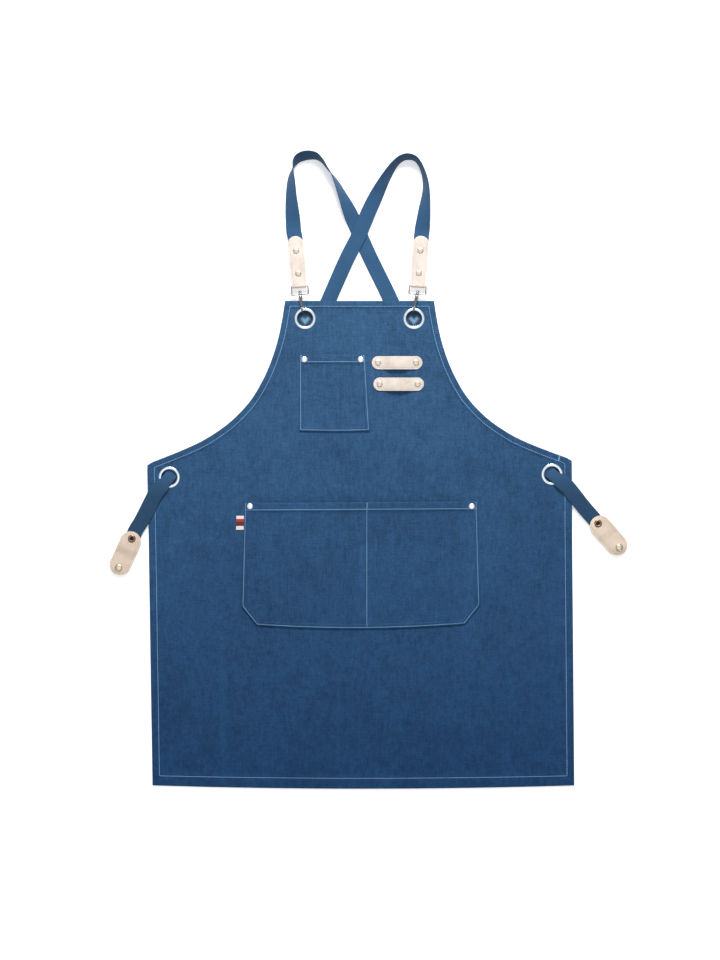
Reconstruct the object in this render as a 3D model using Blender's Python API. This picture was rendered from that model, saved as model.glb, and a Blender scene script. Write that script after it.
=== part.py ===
"""A cross back apron lying flat with its front up: cloth, webbing, leather and metal pieces.

Metres, +Z up. The origin is on the underside of the panel, halfway along its length, on the floor.
+Y points to the bib's top edge and +X to the side of the bib that has the tool loops.
"""

import math

import bmesh
import bpy
from mathutils import Matrix, Vector

# Gaps
FIT = 0.0003
FLOOR_GAP = 0.0001

# Panel
BIB_WIDTH = 0.247
BIB_HEIGHT = 0.267
WAIST_WIDTH = 0.704
HEM_WIDTH = 0.700
SKIRT_LENGTH = 0.537
HEM_BOW = 0.0055
HEM_SHIFT = 0.0064
WAIST_SLANT = 0.0037
CORNER_CUT = 0.002
CLOTH = 0.001
HEM_FOLD = 0.0088
FOLD_STEP = 0.002

# Grommets
GROMMET_HOLE = 0.013
GROMMET_RIM = 0.01775
GROMMET_TUBE = 0.0012
RIM_FRONT = 0.0010
RIM_BACK = 0.0008
BIB_GROMMET_INSET = 0.0332
BIB_GROMMET_DROP = 0.0294
WAIST_GROMMET_INSET = 0.0345
WAIST_GROMMET_DROP = 0.0232
WAIST_GROMMET_SLIP = 0.0016

# Webbing
STRAP_WIDTH = 0.025
STRAP_THICK = 0.0016

# Leather
LEATHER = 0.0017
HOOK_TAB_WIDTH = 0.0262
FOLD_NARROW = 0.92
HOOK_TAB_LENGTH = 0.0865
END_TAB_WIDTH = 0.0355
END_TAB_LENGTH = 0.0762
END_TAB_RAISE = 0.0012
LOOP_STRIP_LENGTH = 0.084
LOOP_STRIP_WIDTH = 0.022
LOOP_STRIP_ARCH = 0.0052
LOOP_RIVET_INSET = 0.0104

# Chest pocket
CHEST_TOP_WIDTH = 0.1093
CHEST_BOTTOM_WIDTH = 0.1169
CHEST_HEIGHT = 0.126
CHEST_LEFT = 0.0998
CHEST_DROP = 0.0895
CHEST_CROWN = 0.0062
CHEST_RIVET_DROP = 0.0078
CHEST_RIVET_INSETS = (0.0085, 0.0075)

# Waist pocket
WAIST_POCKET_WIDTH = 0.386
WAIST_POCKET_FLARE = 0.0055
WAIST_POCKET_HEIGHT = 0.203
WAIST_POCKET_BOW = 0.007
WAIST_POCKET_CUT = 0.026
WAIST_POCKET_RISE = 0.031
WAIST_POCKET_DROP = 0.067
WAIST_POCKET_CENTRE = 0.0022
WAIST_POCKET_SEAM = 0.010
WAIST_POCKET_CROWN = 0.0075
WAIST_RIVET_DROP = 0.0068
WAIST_RIVET_INSET = 0.009
SEAM_BAND = 0.006
MOUTH_BAND = 0.0138
RIVET_LAND = 0.0150

# Side label
LABEL_LENGTH = 0.0125
LABEL_WIDTH = 0.0232
LABEL_DROP = 0.0225
LABEL_THICK = 0.001

# Tool loops
LOOP_CENTRE = 0.0636
LOOP_DROP = 0.1025
LOOP_PITCH = 0.0355
LOOP_STAGGER = 0.0026

# Fasteners
CAP_RADIUS = 0.005
CAP_HEIGHT = 0.0014
BACK_RADIUS = 0.004
BACK_THICK = 0.0008
SHANK_RADIUS = 0.0015
STRAP_HOLE = 0.0020
SNAP_RADIUS = 0.0064
SNAP_HEIGHT = 0.0017
SNAP_BORE = 0.003

# Snap hooks
WIRE_RADIUS = 0.00125
FRAME_WIRE = 0.0011
FRAME_HEIGHT = 0.0133
HOOK_REACH = 0.030
HOOK_DROP = 0.0056
SWIVEL_RADIUS = 0.0032
NECK_RADIUS = 0.0013
COLLAR_RADIUS = 0.003
COLLAR_LENGTH = 0.0032
SWIVEL_PLAY = 0.0009
PIN_AHEAD = 0.0076
PIN_ABOVE = 0.0032
PIN_RADIUS = 0.0008
GATE_LENGTH = 0.0136
GATE_PLATE = 0.0009

# Shoulder loops and strap tails
LOOP_SPREAD = 0.104
LOOP_HEIGHT = 0.132
CROSS_LIFT = 0.0026
CROSS_LEVEL = 0.034
CROSS_END = 0.078
TAIL_RISE = 0.0080
TAIL_SQUEEZE = 0.23

# Levels that follow from the sizes
BIB_TOP = (BIB_HEIGHT + SKIRT_LENGTH + HEM_BOW) / 2
WAIST_Y = BIB_TOP - BIB_HEIGHT
HEM_Y = WAIST_Y - SKIRT_LENGTH
POCKET_TOP = WAIST_Y - WAIST_POCKET_DROP
STRAP_FLOOR = FLOOR_GAP + STRAP_THICK / 2
RIVET_BACK = FIT + BACK_THICK
STACK = 2 * LEATHER + 2 * FIT + STRAP_THICK
HOOK_CLEAR = 0.00045
HOOK_Z = HOOK_CLEAR + WIRE_RADIUS + HOOK_DROP

# Heights of the panel's underside
POCKET_RAISE = FLOOR_GAP + RIVET_BACK
BIB_RAISE = POCKET_RAISE + STRAP_THICK + FIT
BIB_GROMMET_RAISE = 2 * HOOK_CLEAR + 2 * WIRE_RADIUS + RIM_BACK + FIT
WAIST_GROMMET_RAISE = FLOOR_GAP + STRAP_THICK + 0.0006 + RIM_BACK + FIT

# Columns: drop below the bib's top (share of BIB_HEIGHT), reach (share of the way out to the waist)
ARMHOLE = (
    (0.000, 0.000),
    (0.120, 0.022),
    (0.240, 0.052),
    (0.370, 0.100),
    (0.490, 0.162),
    (0.620, 0.256),
    (0.740, 0.391),
    (0.800, 0.485),
    (0.865, 0.612),
    (0.930, 0.785),
    (1.000, 1.000),
)

# Columns: across (share of LOOP_SPREAD), up (share of LOOP_HEIGHT), tilt in degrees
LEFT_LOOP = (
    (-1.044, 0.027, 0),
    (-1.060, 0.178, 10),
    (-1.075, 0.329, 28),
    (-1.087, 0.480, 43),
    (-1.087, 0.681, 60),
    (-1.077, 0.782, 76),
    (-1.057, 0.845, 90),
    (-1.030, 0.908, 106),
    (-0.982, 0.958, 116),
    (-0.886, 0.991, 121),
    (-0.790, 1.000, 118),
    (-0.694, 0.989, 110),
    (-0.599, 0.933, 98),
    (-0.503, 0.826, 90),
    (-0.459, 0.782, 87),
    (-0.381, 0.681, 74),
    (-0.262, 0.480, 52),
    (-0.149, 0.279, 20),
    (-0.096, 0.187, 4),
    (-0.050, 0.108, 0),
    (-0.010, 0.035, 0),
    (0.166, -0.274, 0),
)
RIGHT_LOOP = (
    (0.994, 0.027, 0),
    (1.016, 0.178, 25),
    (1.036, 0.329, 42),
    (1.056, 0.480, 58),
    (1.060, 0.581, 67),
    (1.047, 0.681, 73),
    (1.015, 0.782, 78),
    (0.960, 0.883, 80),
    (0.886, 0.952, 78),
    (0.759, 0.976, 73),
    (0.662, 0.952, 71),
    (0.561, 0.883, 67),
    (0.430, 0.732, 54),
    (0.358, 0.631, 44),
    (0.291, 0.530, 31),
    (0.229, 0.430, 20),
    (0.167, 0.329, 11),
    (0.082, 0.172, 3),
    (-0.008, 0.002, 0),
    (-0.186, -0.274, 0),
)

# Columns: across (share of the waist grommet's distance from the centre), drop (share of the way
# from the bib's top down to the waist grommet)
HIDDEN_RUN = (
    (0.157, -0.018),
    (0.290, 0.313),
    (0.426, 0.575),
    (0.568, 0.732),
    (0.700, 0.820),
    (0.826, 0.889),
)

# Columns: along (share of the tail's length), outward (same share), height (share of TAIL_RISE
# over the floor), squeeze (share of TAIL_SQUEEZE)
TAIL_RUN = (
    (-0.200, 0.000, 0.000, 0.2),
    (-0.085, 0.000, 0.000, 1.0),
    (-0.048, 0.000, 0.110, 1.0),
    (0.000, 0.000, 0.400, 1.0),
    (0.048, 0.004, 0.660, 1.0),
    (0.085, 0.008, 0.820, 1.0),
    (0.130, 0.016, 0.940, 0.4),
    (0.180, 0.026, 1.000, 0.0),
    (0.300, 0.042, 0.960, 0.0),
    (0.480, 0.032, 0.790, 0.0),
    (0.660, 0.015, 0.620, 0.0),
    (0.830, 0.004, 0.480, 0.0),
)

# Columns: side, turn of the hook tab, turn of the hook, place on the grommet's rim (degrees),
# tail length, turn of the tail, turn of the end tab
SIDES = {
    "left": dict(side=-1, tab=5.3, hook=6.9, rim=-22.7, tail=0.1075, tail_turn=-32.0, end_turn=-24.5),
    "right": dict(side=1, tab=-4.2, hook=-12.2, rim=-4.5, tail=0.0998, tail_turn=43.3, end_turn=41.4),
}

# Mesh fineness
RIVET_SIDES = 8
GROMMET_SIDES = 16
SNAP_SIDES = 10
WIRE_SIDES = 6
LOOP_SPACING = 0.0110
RUN_SPACING = 0.034
TAIL_SPACING = 0.0075

COLOURS = {
    "canvas": ((0.040, 0.098, 0.190), 0.85, 0.0),
    "webbing": ((0.036, 0.090, 0.180), 0.80, 0.0),
    "leather": ((0.800, 0.640, 0.500), 0.55, 0.0),
    "steel": ((0.780, 0.780, 0.780), 0.25, 1.0),
    "hook_metal": ((0.300, 0.290, 0.280), 0.30, 1.0),
    "stud_metal": ((0.820, 0.740, 0.560), 0.25, 1.0),
    "socket_metal": ((0.180, 0.120, 0.080), 0.35, 1.0),
    "label": ((0.700, 0.650, 0.600), 0.85, 0.0),
}


def mix(low, high, share):
    """Value a share of the way from low to high."""
    return low + (high - low) * share


def smooth(share):
    """Soft step from 0 to 1, held at both ends."""
    share = min(1.0, max(0.0, share))
    return share * share * (3 - 2 * share)


def slopes_of(places, values, limited):
    """Slopes for a curve through the values; a limited one never overshoots them."""
    steps = [(values[k + 1] - values[k]) / (places[k + 1] - places[k]) for k in range(len(places) - 1)]
    slopes = [steps[0]]
    for before, after in zip(steps, steps[1:]):
        slope = (before + after) / 2
        if limited:
            slope = 0.0 if before * after <= 0 else 2 * before * after / (before + after)
        slopes.append(slope)
    slopes.append(steps[-1])
    return slopes


def curve_value(places, values, slopes, place):
    """Point on the curve through the values at a place."""
    k = 0
    while k < len(places) - 2 and place > places[k + 1]:
        k += 1
    span = places[k + 1] - places[k]
    t = (place - places[k]) / span
    start = (2 * t ** 3 - 3 * t ** 2 + 1) * values[k] + (t ** 3 - 2 * t ** 2 + t) * span * slopes[k]
    end = (3 * t ** 2 - 2 * t ** 3) * values[k + 1] + (t ** 3 - t ** 2) * span * slopes[k + 1]
    return start + end


ARMHOLE_DROPS = [row[0] for row in ARMHOLE]
ARMHOLE_REACH = [row[1] for row in ARMHOLE]
ARMHOLE_SLOPES = slopes_of(ARMHOLE_DROPS, ARMHOLE_REACH, False)


def half_width(y):
    """Half the panel's width at a level of the pattern."""
    if y >= WAIST_Y:
        drop = (BIB_TOP - y) / BIB_HEIGHT
        share = curve_value(ARMHOLE_DROPS, ARMHOLE_REACH, ARMHOLE_SLOPES, drop)
        return mix(BIB_WIDTH, WAIST_WIDTH, share) / 2
    return mix(WAIST_WIDTH, HEM_WIDTH, (WAIST_Y - y) / SKIRT_LENGTH) / 2


def lay(x, y):
    """Where a point of the even pattern lies: the hem drifts and bows, the waist line slants."""
    down = max(0.0, (WAIST_Y - y) / SKIRT_LENGTH)
    if y >= WAIST_Y:
        slant = smooth(1 - (y - WAIST_Y) / BIB_HEIGHT)
    else:
        slant = smooth(1 - (WAIST_Y - y) / WAIST_POCKET_DROP)
    bow = HEM_BOW * (1 - (x / half_width(y)) ** 2) * down ** 8
    return x + HEM_SHIFT * down, y + WAIST_SLANT * slant * x / (WAIST_WIDTH / 2) - bow


def bib_grommet_place(side):
    """Centre of a bib grommet."""
    return lay(side * (BIB_WIDTH / 2 - BIB_GROMMET_INSET), BIB_TOP - BIB_GROMMET_DROP)


def waist_grommet_place(side):
    """Centre of a waist grommet."""
    reach = WAIST_WIDTH / 2 - WAIST_GROMMET_INSET
    return lay(side * reach + WAIST_GROMMET_SLIP, WAIST_Y - WAIST_GROMMET_DROP)


# How far the raised ground round a grommet stays level, and where it ends
BIB_GROMMET_LEVEL = (0.031, 0.058)
WAIST_GROMMET_LEVEL = (0.036, 0.075)
RIVET_FALL = 0.015
POCKET_FALL = 0.045
BIB_FALL_TOP = 0.045
BIB_FALL_BEND = 0.090
BIB_FALL = 0.060


def underside(x, y):
    """Height of the panel's underside: up over the straps, hooks and rivet backs, else on the floor."""
    pocket = POCKET_RAISE * smooth((y - (POCKET_TOP - RIVET_FALL - POCKET_FALL)) / POCKET_FALL)
    edge = WAIST_Y + BIB_FALL_TOP - BIB_FALL_BEND * (x / (WAIST_WIDTH / 2 - WAIST_GROMMET_INSET)) ** 2
    height = pocket + (BIB_RAISE - POCKET_RAISE) * smooth((y - (edge - BIB_FALL)) / BIB_FALL)
    places = [(bib_grommet_place(side), BIB_GROMMET_LEVEL, BIB_GROMMET_RAISE) for side in (-1, 1)]
    places += [(waist_grommet_place(side), WAIST_GROMMET_LEVEL, WAIST_GROMMET_RAISE) for side in (-1, 1)]
    for (px, py), (level, end), raised in places:
        away = math.hypot(x - px, y - py)
        height = mix(height, raised, smooth((end - away) / (end - level)))
    return height


def panel_rows():
    """Levels of the panel's rows of points, from the bib's top to the hem."""
    near_top = [0, HEM_FOLD, HEM_FOLD + FOLD_STEP, BIB_GROMMET_DROP, 0.048, 0.066, CHEST_DROP - 0.003]
    rows = [BIB_TOP - down for down in near_top]
    start = rows[-1]
    count = 10
    rows += [mix(start, WAIST_Y, 1 - (1 - k / count) ** 1.2) for k in range(1, count + 1)]
    rows += [WAIST_Y - down for down in (0.0075, WAIST_GROMMET_DROP, 2 * WAIST_GROMMET_DROP)] + [POCKET_TOP]
    falls = 3
    fall_start = POCKET_TOP - RIVET_FALL
    rows += [fall_start - POCKET_FALL * k / falls for k in range(falls + 1)]
    end = HEM_Y + HEM_FOLD + FOLD_STEP
    count = 7
    rows += [mix(rows[-1], end, k / count) for k in range(1, count + 1)]
    return rows + [HEM_Y + HEM_FOLD, HEM_Y]


PANEL_ROWS = panel_rows()


def panel_columns(y):
    """Places across the panel at a level, denser near both edges."""
    half = half_width(y)
    lean = 1.0
    if y > WAIST_Y - 0.001:
        step = 0.002
        level = max(y, WAIST_Y + step)
        slope = (half_width(level - step) - half_width(level)) / step
        lean = math.hypot(1, slope)
    insets = [0, lean * HEM_FOLD, lean * (HEM_FOLD + FOLD_STEP)]
    insets += [insets[-1] + further for further in (0.023, 0.044, 0.069)]
    inner = half - insets[-1]
    count = 6
    middle = [mix(-inner, inner, k / count) for k in range(1, count)]
    return [inset - half for inset in insets] + middle + [half - inset for inset in reversed(insets)]


def slab(upper, lower):
    """Closed sheet between two grids of points."""
    bm = bmesh.new()
    top = [[bm.verts.new(point) for point in row] for row in upper]
    bottom = [[bm.verts.new(point) for point in row] for row in lower]
    rows = len(top)
    columns = len(top[0])
    for i in range(rows - 1):
        for j in range(columns - 1):
            corners = ((i, j), (i + 1, j), (i + 1, j + 1), (i, j + 1))
            for a, b, c in ((0, 1, 2), (0, 2, 3)):
                picked = (corners[a], corners[b], corners[c])
                bm.faces.new([top[r][s] for r, s in picked])
                bm.faces.new([bottom[r][s] for r, s in reversed(picked)])
    rim = [(0, j) for j in range(columns)] + [(i, columns - 1) for i in range(1, rows)]
    rim += [(rows - 1, j) for j in range(columns - 2, -1, -1)] + [(i, 0) for i in range(rows - 2, 0, -1)]
    for (i, j), (k, m) in zip(rim, rim[1:] + rim[:1]):
        bm.faces.new((top[i][j], top[k][m], bottom[k][m]))
        bm.faces.new((top[i][j], bottom[k][m], bottom[i][j]))
    return bm


def sweep(rings, even=False):
    """Closed body through rings of points, capped at both ends. An even one splits its upper and lower
    faces along the same diagonals, so that a twisted band keeps its thickness."""
    bm = bmesh.new()
    loops = [[bm.verts.new(point) for point in ring] for ring in rings]
    sides = len(loops[0])
    for near, far in zip(loops, loops[1:]):
        for k in range(sides):
            m = (k + 1) % sides
            if even and k >= sides // 2:
                bm.faces.new((near[k], near[m], far[k]))
                bm.faces.new((near[m], far[m], far[k]))
            else:
                bm.faces.new((near[k], near[m], far[m]))
                bm.faces.new((near[k], far[m], far[k]))
    bm.faces.new(list(reversed(loops[0])))
    bm.faces.new(loops[-1])
    return bm


def closed_sweep(rings):
    """Body through rings of points that end where they start."""
    bm = bmesh.new()
    loops = [[bm.verts.new(point) for point in ring] for ring in rings]
    sides = len(loops[0])
    for near, far in zip(loops, loops[1:] + loops[:1]):
        for k in range(sides):
            m = (k + 1) % sides
            bm.faces.new((near[k], near[m], far[m], far[k]))
    return bm


def turned(profile, sides, ring=False):
    """Turned body round Z. The profile runs (radius, height); a ring's profile is a closed loop."""
    bm = bmesh.new()
    verts = [bm.verts.new((radius, 0, height)) for radius, height in profile]
    pairs = list(zip(verts, verts[1:]))
    if ring:
        pairs.append((verts[-1], verts[0]))
    edges = [bm.edges.new(pair) for pair in pairs]
    bmesh.ops.spin(bm, geom=verts + edges, cent=(0, 0, 0), axis=(0, 0, 1), angle=math.tau, steps=sides)
    bmesh.ops.remove_doubles(bm, verts=bm.verts, dist=1e-6)
    return bm


def block(low, high):
    """Box between two corners."""
    bm = bmesh.new()
    bmesh.ops.create_cube(bm, size=1)
    for vert in bm.verts:
        vert.co = [mix(low[k], high[k], vert.co[k] + 0.5) for k in range(3)]
    return bm


def rod(start, end, radius, sides):
    """Plain cylinder between two points."""
    start = Vector(start)
    end = Vector(end)
    bm = bmesh.new()
    bmesh.ops.create_cone(bm, cap_ends=True, segments=sides, radius1=radius, radius2=radius,
                          depth=(end - start).length)
    turn = (end - start).to_track_quat("Z", "Y").to_matrix().to_4x4()
    bmesh.ops.transform(bm, matrix=Matrix.Translation((start + end) / 2) @ turn, verts=bm.verts)
    return bm


MATERIALS = {}


def material(name):
    """Material of a piece, made once."""
    if name not in MATERIALS:
        colour, roughness, metallic = COLOURS[name]
        made = bpy.data.materials.new(name)
        made.use_nodes = True
        shader = made.node_tree.nodes["Principled BSDF"]
        shader.inputs["Base Color"].default_value = (*colour, 1)
        shader.inputs["Roughness"].default_value = roughness
        shader.inputs["Metallic"].default_value = metallic
        MATERIALS[name] = made
    return MATERIALS[name]


def add(name, bm, finish, place=None):
    """Object from a body of mesh, with its material and place."""
    bmesh.ops.recalc_face_normals(bm, faces=bm.faces)
    mesh = bpy.data.meshes.new(name)
    bm.to_mesh(mesh)
    bm.free()
    mesh.materials.append(material(finish))
    mesh.shade_smooth()
    mesh.set_sharp_from_angle(angle=math.radians(35))
    made = bpy.data.objects.new(name, mesh)
    bpy.context.scene.collection.objects.link(made)
    if place is not None:
        made.matrix_world = place
    return made


def combine(piece, bm, operation):
    """Join a helper body to a piece, or cut it away."""
    helper = add(piece.name + "_helper", bm, "steel", piece.matrix_world.copy())
    helper.hide_render = True
    helper.display_type = "WIRE"
    modifier = piece.modifiers.new(operation.lower(), "BOOLEAN")
    modifier.operation = operation
    modifier.solver = "EXACT"
    modifier.object = helper


def drill(piece, holes, low, high, sides=RIVET_SIDES):
    """Cut upright round holes, given as (x, y, radius) in the piece's own frame."""
    bm = bmesh.new()
    for x, y, radius in holes:
        cutter = rod((x, y, low), (x, y, high), radius, sides)
        mesh = bpy.data.meshes.new("hole")
        cutter.to_mesh(mesh)
        cutter.free()
        bm.from_mesh(mesh)
        bpy.data.meshes.remove(mesh)
    combine(piece, bm, "DIFFERENCE")


def panel_height(x, y):
    """Underside of the panel as its mesh has it, straight between its rows."""
    for above, below in zip(PANEL_ROWS, PANEL_ROWS[1:]):
        if y >= below:
            share = (above - y) / (above - below)
            return mix(underside(x, above), underside(x, below), share)
    return underside(x, y)


def front(x, y):
    """Height of the panel's front face away from its hem band."""
    return panel_height(x, y) + CLOTH


def with_panel_rows(levels):
    """The levels, from high to low, and the panel's rows that lie between them."""
    apart = 0.0015
    extra = [row for row in PANEL_ROWS
             if levels[-1] < row < levels[0] and min(abs(row - level) for level in levels) > apart]
    return sorted(list(levels) + extra, reverse=True)


def build_panel():
    """Canvas panel with its folded hem band, and holes for grommets and rivets."""
    upper = []
    lower = []
    last = len(PANEL_ROWS) - 1
    for i, y in enumerate(PANEL_ROWS):
        columns = panel_columns(y)
        high_row = []
        low_row = []
        for j, x in enumerate(columns):
            in_band = i < 2 or i > last - 2 or j < 2 or j > len(columns) - 3
            px, py = lay(x, y)
            if i in (0, last) and j in (0, len(columns) - 1):
                px -= math.copysign(CORNER_CUT, x)
                py += CORNER_CUT if i else -CORNER_CUT / 2
            z = underside(px, py) if y > POCKET_TOP else underside(px, y)
            low_row.append((px, py, z))
            high_row.append((px, py, z + (2 * CLOTH if in_band else CLOTH)))
        upper.append(high_row)
        lower.append(low_row)
    panel = add("apron_panel", slab(upper, lower), "canvas")
    tube = GROMMET_HOLE + GROMMET_TUBE + FIT
    rings = [(*place(side), tube) for place in (bib_grommet_place, waist_grommet_place) for side in (-1, 1)]
    shanks = [(x, y, SHANK_RADIUS + FIT) for x, y in panel_rivets()]
    drill(panel, rings, -0.01, 0.02, GROMMET_SIDES)
    drill(panel, shanks, -0.01, 0.02)


def chest_corner(across, down):
    """Point of the chest pocket: across 0 to 1 from its left edge, down in metres from its mouth."""
    width = mix(CHEST_TOP_WIDTH, CHEST_BOTTOM_WIDTH, down / CHEST_HEIGHT)
    return -CHEST_LEFT + across * width, BIB_TOP - CHEST_DROP - down


def chest_rivets():
    """Rivets at the chest pocket's mouth."""
    level = BIB_TOP - CHEST_DROP - CHEST_RIVET_DROP
    right = CHEST_TOP_WIDTH - CHEST_RIVET_INSETS[1]
    return [(-CHEST_LEFT + CHEST_RIVET_INSETS[0], level), (-CHEST_LEFT + right, level)]


def waist_rivets():
    """Rivets at the waist pocket's mouth."""
    reach = WAIST_POCKET_WIDTH / 2 - WAIST_RIVET_INSET
    return [(WAIST_POCKET_CENTRE + side * reach, POCKET_TOP - WAIST_RIVET_DROP) for side in (-1, 1)]


def loop_places():
    """Middles of the two tool loops, the upper first."""
    upper = (LOOP_CENTRE - LOOP_STAGGER / 2, BIB_TOP - LOOP_DROP)
    return [upper, (LOOP_CENTRE + LOOP_STAGGER / 2, BIB_TOP - LOOP_DROP - LOOP_PITCH)]


def loop_rivets():
    """Rivets of the tool loops, from the upper left to the lower right."""
    reach = LOOP_STRIP_LENGTH / 2 - LOOP_RIVET_INSET
    return [(x + side * reach, y) for x, y in loop_places() for side in (-1, 1)]


def panel_rivets():
    """All rivets that pass through the panel."""
    return chest_rivets() + waist_rivets() + loop_rivets()


def crown(share, flat=4):
    """Rise across a pocket between two seams, full over most of it."""
    if not 0 < share < 1:
        return 0.0
    return 1 - abs(2 * share - 1) ** flat


def build_chest_pocket():
    """Chest pocket: sewn down at its sides and foot, open and slightly crowned at its mouth."""
    foot = CHEST_HEIGHT - SEAM_BAND
    downs = [0, MOUTH_BAND, MOUTH_BAND + FOLD_STEP, 0.034, 0.062, 0.092, foot - FOLD_STEP, foot, CHEST_HEIGHT]
    levels = [BIB_TOP - CHEST_DROP - down for down in downs]
    band = SEAM_BAND / CHEST_TOP_WIDTH
    land = RIVET_LAND / CHEST_TOP_WIDTH
    arc = (0, 0.05, 0.2, 0.5, 0.8, 0.95, 1)
    shares = [0, band] + [mix(land, 1 - land, share) for share in arc] + [1 - band, 1]
    upper = []
    lower = []
    for level in levels:
        down = BIB_TOP - CHEST_DROP - level
        depth = max(0.0, 1 - down / foot)
        high_row = []
        low_row = []
        for share in shares:
            x, y = chest_corner(share, down)
            rise = CHEST_CROWN * crown((share - land) / (1 - 2 * land)) * depth ** 1.2
            double = down <= MOUTH_BAND or down >= foot or not band < share < 1 - band
            z = front(x, y) + FIT + rise
            low_row.append((x, y, z))
            high_row.append((x, y, z + (2 * CLOTH if double else CLOTH)))
        upper.append(high_row)
        lower.append(low_row)
    pocket = add("chest_pocket", slab(upper, lower), "canvas")
    drill(pocket, [(x, y, SHANK_RADIUS + FIT) for x, y in chest_rivets()], 0, 0.03)


def waist_pocket_half(down):
    """Half the waist pocket's width at a distance below its mouth, with its two cut corners."""
    half = WAIST_POCKET_WIDTH / 2 + WAIST_POCKET_FLARE * down / WAIST_POCKET_HEIGHT
    start = WAIST_POCKET_HEIGHT - WAIST_POCKET_RISE
    return half - WAIST_POCKET_CUT * max(0.0, (down - start) / WAIST_POCKET_RISE)


def build_waist_pocket():
    """Waist pocket: two wide compartments either side of a sewn line, with cut lower corners."""
    foot = WAIST_POCKET_HEIGHT - SEAM_BAND
    corner = WAIST_POCKET_HEIGHT - WAIST_POCKET_RISE
    downs = [0, MOUTH_BAND, MOUTH_BAND + FOLD_STEP, 0.10, 0.14, corner, foot - 0.010, foot, WAIST_POCKET_HEIGHT]
    levels = with_panel_rows([POCKET_TOP - down for down in downs])
    seam = WAIST_POCKET_SEAM
    upper = []
    lower = []
    for level in levels:
        down = POCKET_TOP - level
        half = waist_pocket_half(down)
        depth = max(0.0, 1 - down / foot)
        inner = half - SEAM_BAND
        land = half - RIVET_LAND
        arc = (0.07, 0.25, 0.5, 0.75, 0.93)
        places = [-half, -inner, -land] + [mix(-land, seam, share) for share in arc] + [seam]
        places += [mix(seam, land, share) for share in arc] + [land, inner, half]
        high_row = []
        low_row = []
        for place in places:
            start, end = (-land, seam) if place < seam else (seam, land)
            rise = WAIST_POCKET_CROWN * crown((place - start) / (end - start)) * depth ** 1.2
            double = down <= MOUTH_BAND or down >= foot or abs(place) >= inner
            x = WAIST_POCKET_CENTRE + place
            bow = WAIST_POCKET_BOW * (1 - (place / half) ** 2) * (down / WAIST_POCKET_HEIGHT) ** 4
            y = level - bow
            z = front(x, y) + FIT + rise
            low_row.append((x, y, z))
            high_row.append((x, y, z + (2 * CLOTH if double else CLOTH)))
        upper.append(high_row)
        lower.append(low_row)
    pocket = add("waist_pocket", slab(upper, lower), "canvas")
    drill(pocket, [(x, y, SHANK_RADIUS + FIT) for x, y in waist_rivets()], 0, 0.03)


def build_label():
    """Small folded tag that sticks out beside the waist pocket's left seam."""
    levels = with_panel_rows([POCKET_TOP - LABEL_DROP, POCKET_TOP - LABEL_DROP - LABEL_WIDTH])
    upper = []
    lower = []
    for y in levels:
        seam = WAIST_POCKET_CENTRE - waist_pocket_half(POCKET_TOP - y) - FIT
        places = (seam - LABEL_LENGTH, seam)
        lower.append([(x, y, front(x, y) + FIT) for x in places])
        upper.append([(x, y, front(x, y) + FIT + LABEL_THICK) for x in places])
    add("side_label", slab(upper, lower), "label")


def pill_half(along, length, width):
    """Half width of a strip with round ends, at a distance from its end."""
    radius = width / 2
    near = min(along, length - along)
    if near >= radius:
        return radius
    return math.sqrt(max(0.0, radius ** 2 - (radius - near) ** 2))


def pill_stations(length, width, middle):
    """Distances along a strip: dense at both round ends, then an even middle."""
    radius = width / 2
    ends = [radius * (1 - math.cos(math.radians(angle))) for angle in (12, 30, 50, 70, 90)]
    inside = [mix(radius, length - radius, k / (middle + 1)) for k in range(1, middle + 1)]
    return ends + inside + [length - end for end in reversed(ends)]


def build_tool_loops():
    """Leather strips riveted at both ends, arched off the bib between their rivets."""
    for (cx, cy), name in zip(loop_places(), ("tool_loop_upper", "tool_loop_lower")):
        upper = []
        lower = []
        for along in pill_stations(LOOP_STRIP_LENGTH, LOOP_STRIP_WIDTH, 7):
            half = pill_half(along, LOOP_STRIP_LENGTH, LOOP_STRIP_WIDTH)
            free = LOOP_STRIP_LENGTH - 2 * (LOOP_RIVET_INSET + CAP_RADIUS)
            share = (along - LOOP_RIVET_INSET - CAP_RADIUS) / free
            arch = LOOP_STRIP_ARCH * smooth(2.6 * share) * smooth(2.6 * (1 - share))
            x = cx - LOOP_STRIP_LENGTH / 2 + along
            z = front(cx, cy) + FIT + arch
            lower.append([(x, cy + side * half, z) for side in (1, -1)])
            upper.append([(x, cy + side * half, z + LEATHER) for side in (1, -1)])
        strip = add(name, slab(upper, lower), "leather")
        rivets = [(x, y, SHANK_RADIUS + FIT) for x, y in loop_rivets() if abs(y - cy) < LOOP_PITCH / 2]
        drill(strip, rivets, 0, 0.03)


def rivet_body(grip, cap=CAP_RADIUS):
    """Rivet that holds a grip of given thickness; its shank's foot is at the underside of the grip."""
    top = grip + FIT
    profile = (
        (0, top + CAP_HEIGHT),
        (0.75 * cap, top + 0.75 * CAP_HEIGHT),
        (cap, top),
        (SHANK_RADIUS, top),
        (SHANK_RADIUS, -FIT),
        (BACK_RADIUS, -FIT),
        (BACK_RADIUS, -RIVET_BACK),
        (0, -RIVET_BACK),
    )
    return turned(profile, RIVET_SIDES)


def build_panel_rivets():
    """Rivets through pockets, loops and panel."""
    cloth_grip = 3 * CLOTH + FIT
    leather_grip = CLOTH + FIT + LEATHER
    groups = (
        ("chest_rivet", ("left", "right"), chest_rivets(), cloth_grip),
        ("waist_rivet", ("left", "right"), waist_rivets(), cloth_grip),
        ("loop_rivet", ("upper_left", "upper_right", "lower_left", "lower_right"), loop_rivets(), leather_grip),
    )
    for stem, names, places, grip in groups:
        for name, (x, y) in zip(names, places):
            add(f"{stem}_{name}", rivet_body(grip), "steel", Matrix.Translation((x, y, panel_height(x, y))))


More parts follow.
